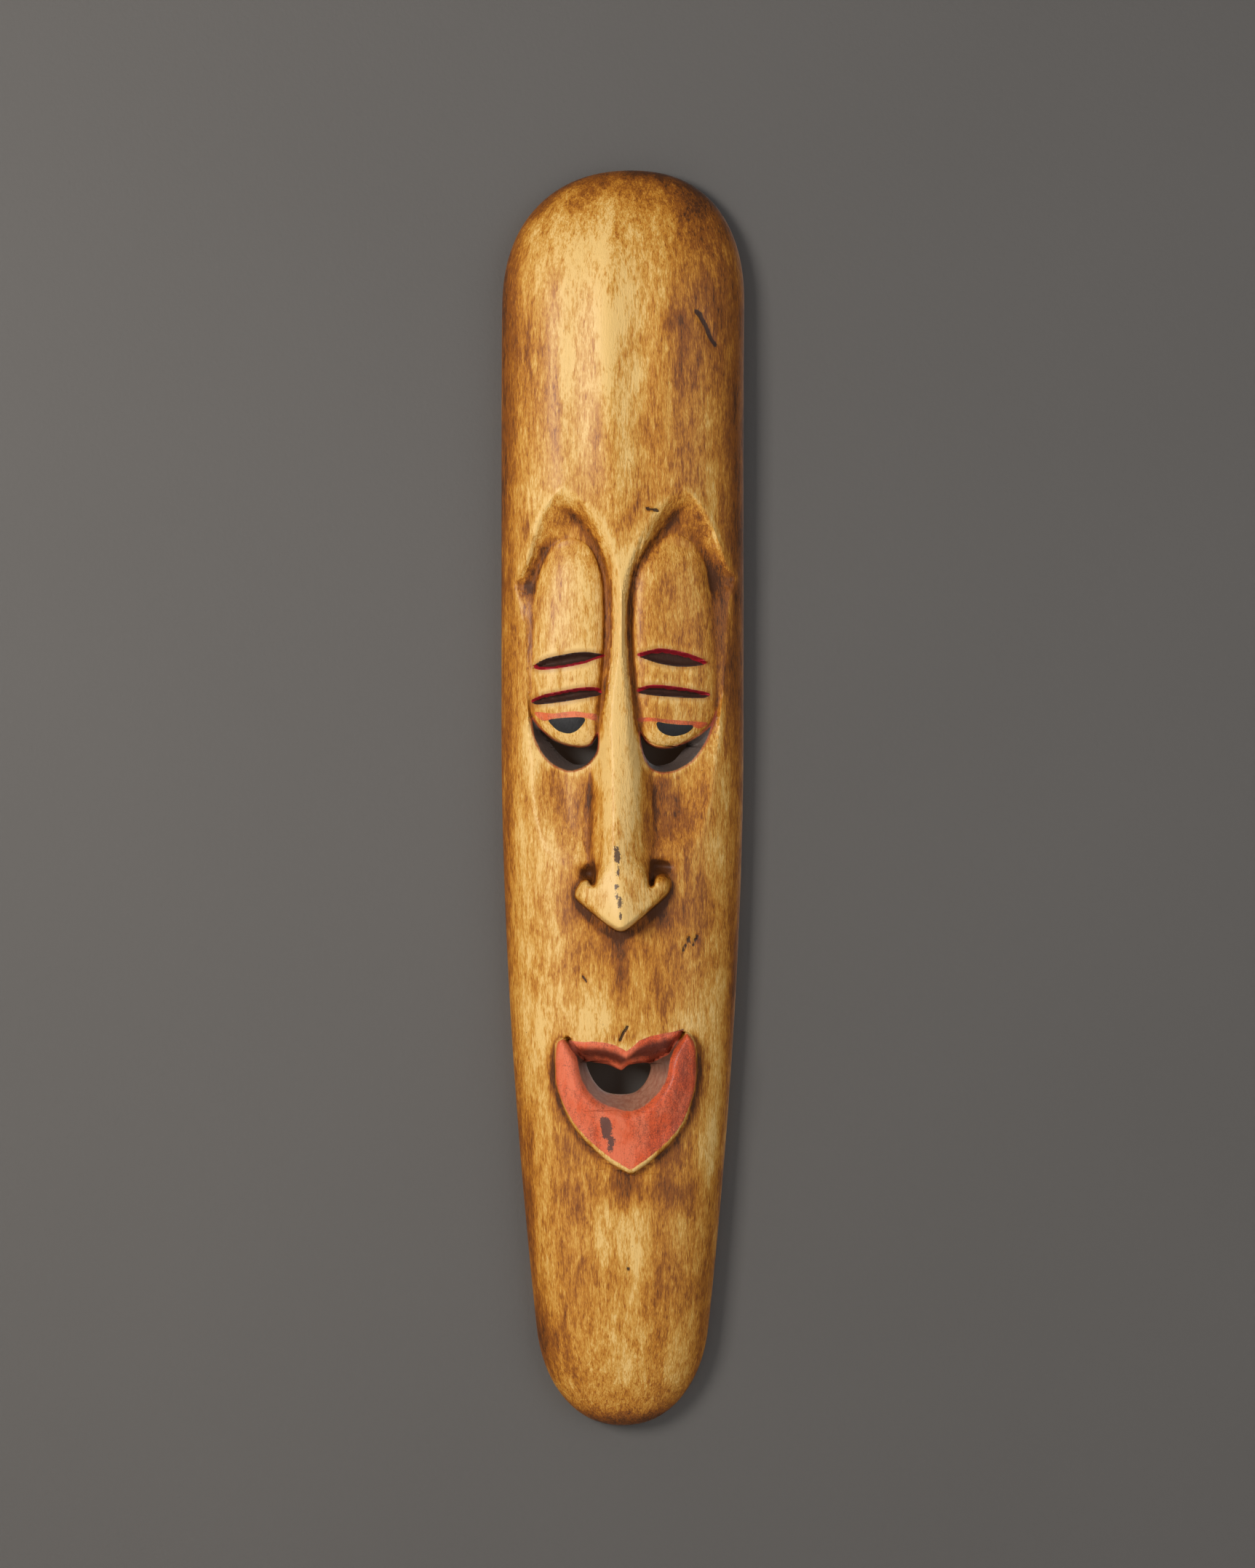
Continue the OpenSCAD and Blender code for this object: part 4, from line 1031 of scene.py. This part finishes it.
def sheet(name, x, y, z, material):
    """A flat stage piece with these corner ranges."""
    bpy.ops.object.select_all(action="DESELECT")
    bpy.ops.mesh.primitive_plane_add(size=1)
    obj = bpy.context.object
    obj.name = name
    corners = {"wall": [(x[0], y[0], z[0]), (x[1], y[0], z[0]), (x[0], y[0], z[1]), (x[1], y[0], z[1])],
               "floor": [(x[0], y[0], z[0]), (x[1], y[0], z[0]), (x[0], y[1], z[0]), (x[1], y[1], z[0])]}
    flat = np.array(corners[name], np.float32)
    obj.data.vertices.foreach_set("co", flat.ravel())
    obj.data.update()
    obj.data.materials.append(material)
    obj.select_set(False)
    return obj


def aim(obj, target):
    obj.rotation_euler = (Vector(target) - obj.location).to_track_quat("-Z", "Y").to_euler()


def area_light(name, place, target, size, power, colour):
    bpy.ops.object.select_all(action="DESELECT")
    bpy.ops.object.light_add(type="AREA", location=place)
    lamp = bpy.context.object
    lamp.name = name
    lamp.data.shape = "RECTANGLE"
    lamp.data.size, lamp.data.size_y = size
    lamp.data.energy = power
    lamp.data.color = colour
    aim(lamp, target)


def make_stage(centre_z):
    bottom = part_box("mask_body")[0].z
    floor_z = bottom - FLOOR_DROP
    wall = sheet("wall", (-WALL_SIZE, WALL_SIZE), (WALL_GAP, 0), (floor_z, floor_z + 2 * WALL_SIZE),
                 wall_paint())
    wall.visible_shadow = False
    sheet("floor", (-WALL_SIZE, WALL_SIZE), (-WALL_SIZE, WALL_SIZE), (floor_z, 0), floor_paint())
    target = Vector((0, LIT_POINT_Y, centre_z))
    for name, (offset, size, power, colour) in LAMPS.items():
        area_light(name, target + Vector(offset), target, size, power, colour)
    world = bpy.data.worlds.new("room")
    bpy.context.scene.world = world
    world.use_nodes = True
    background = world.node_tree.nodes["Background"]
    background.inputs["Color"].default_value = ROOM_COLOUR
    background.inputs["Strength"].default_value = ROOM_LIGHT


CAMERA_DISTANCE = 3.0
VIEW_HEIGHT = 1.2535
SENSOR = 36.0
CAMERA_X = 0.004
VIEW_CENTRE = 489.0


def make_camera(centre_z):
    bpy.ops.object.select_all(action="DESELECT")
    bpy.ops.object.camera_add(location=(CAMERA_X, -CAMERA_DISTANCE, centre_z))
    camera = bpy.context.object
    camera.data.sensor_width = SENSOR
    camera.data.lens = SENSOR * CAMERA_DISTANCE / VIEW_HEIGHT
    aim(camera, (CAMERA_X, 0, centre_z))
    bpy.context.scene.camera = camera


# ---------------------------------------------------------------- putting it together

centre_z = (HANG_DROP - VIEW_CENTRE) * MM
make_camera(centre_z)
make_stage(centre_z)
bpy.context.scene.view_settings.view_transform = "Standard"

mask = make_mask()
mask.data.materials.clear()
mask.data.materials.append(painted_wood())
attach(mask, "mask")
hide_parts("mask_body")

hanger_steel = plated_steel("hanger_steel", srgb(176, 172, 164), srgb(206, 202, 192))
screw_steel = plated_steel("screw_steel", srgb(196, 190, 176), srgb(214, 206, 186))
carried = {"hanger_batten": sawn_wood(), "batten_screws": screw_steel, "strap_screws": screw_steel,
           "hanger_strap": hanger_steel, "hanger_ring": hanger_steel}
for node, material in carried.items():
    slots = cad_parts[node].data.materials
    for i in range(len(slots)):
        slots[i] = material
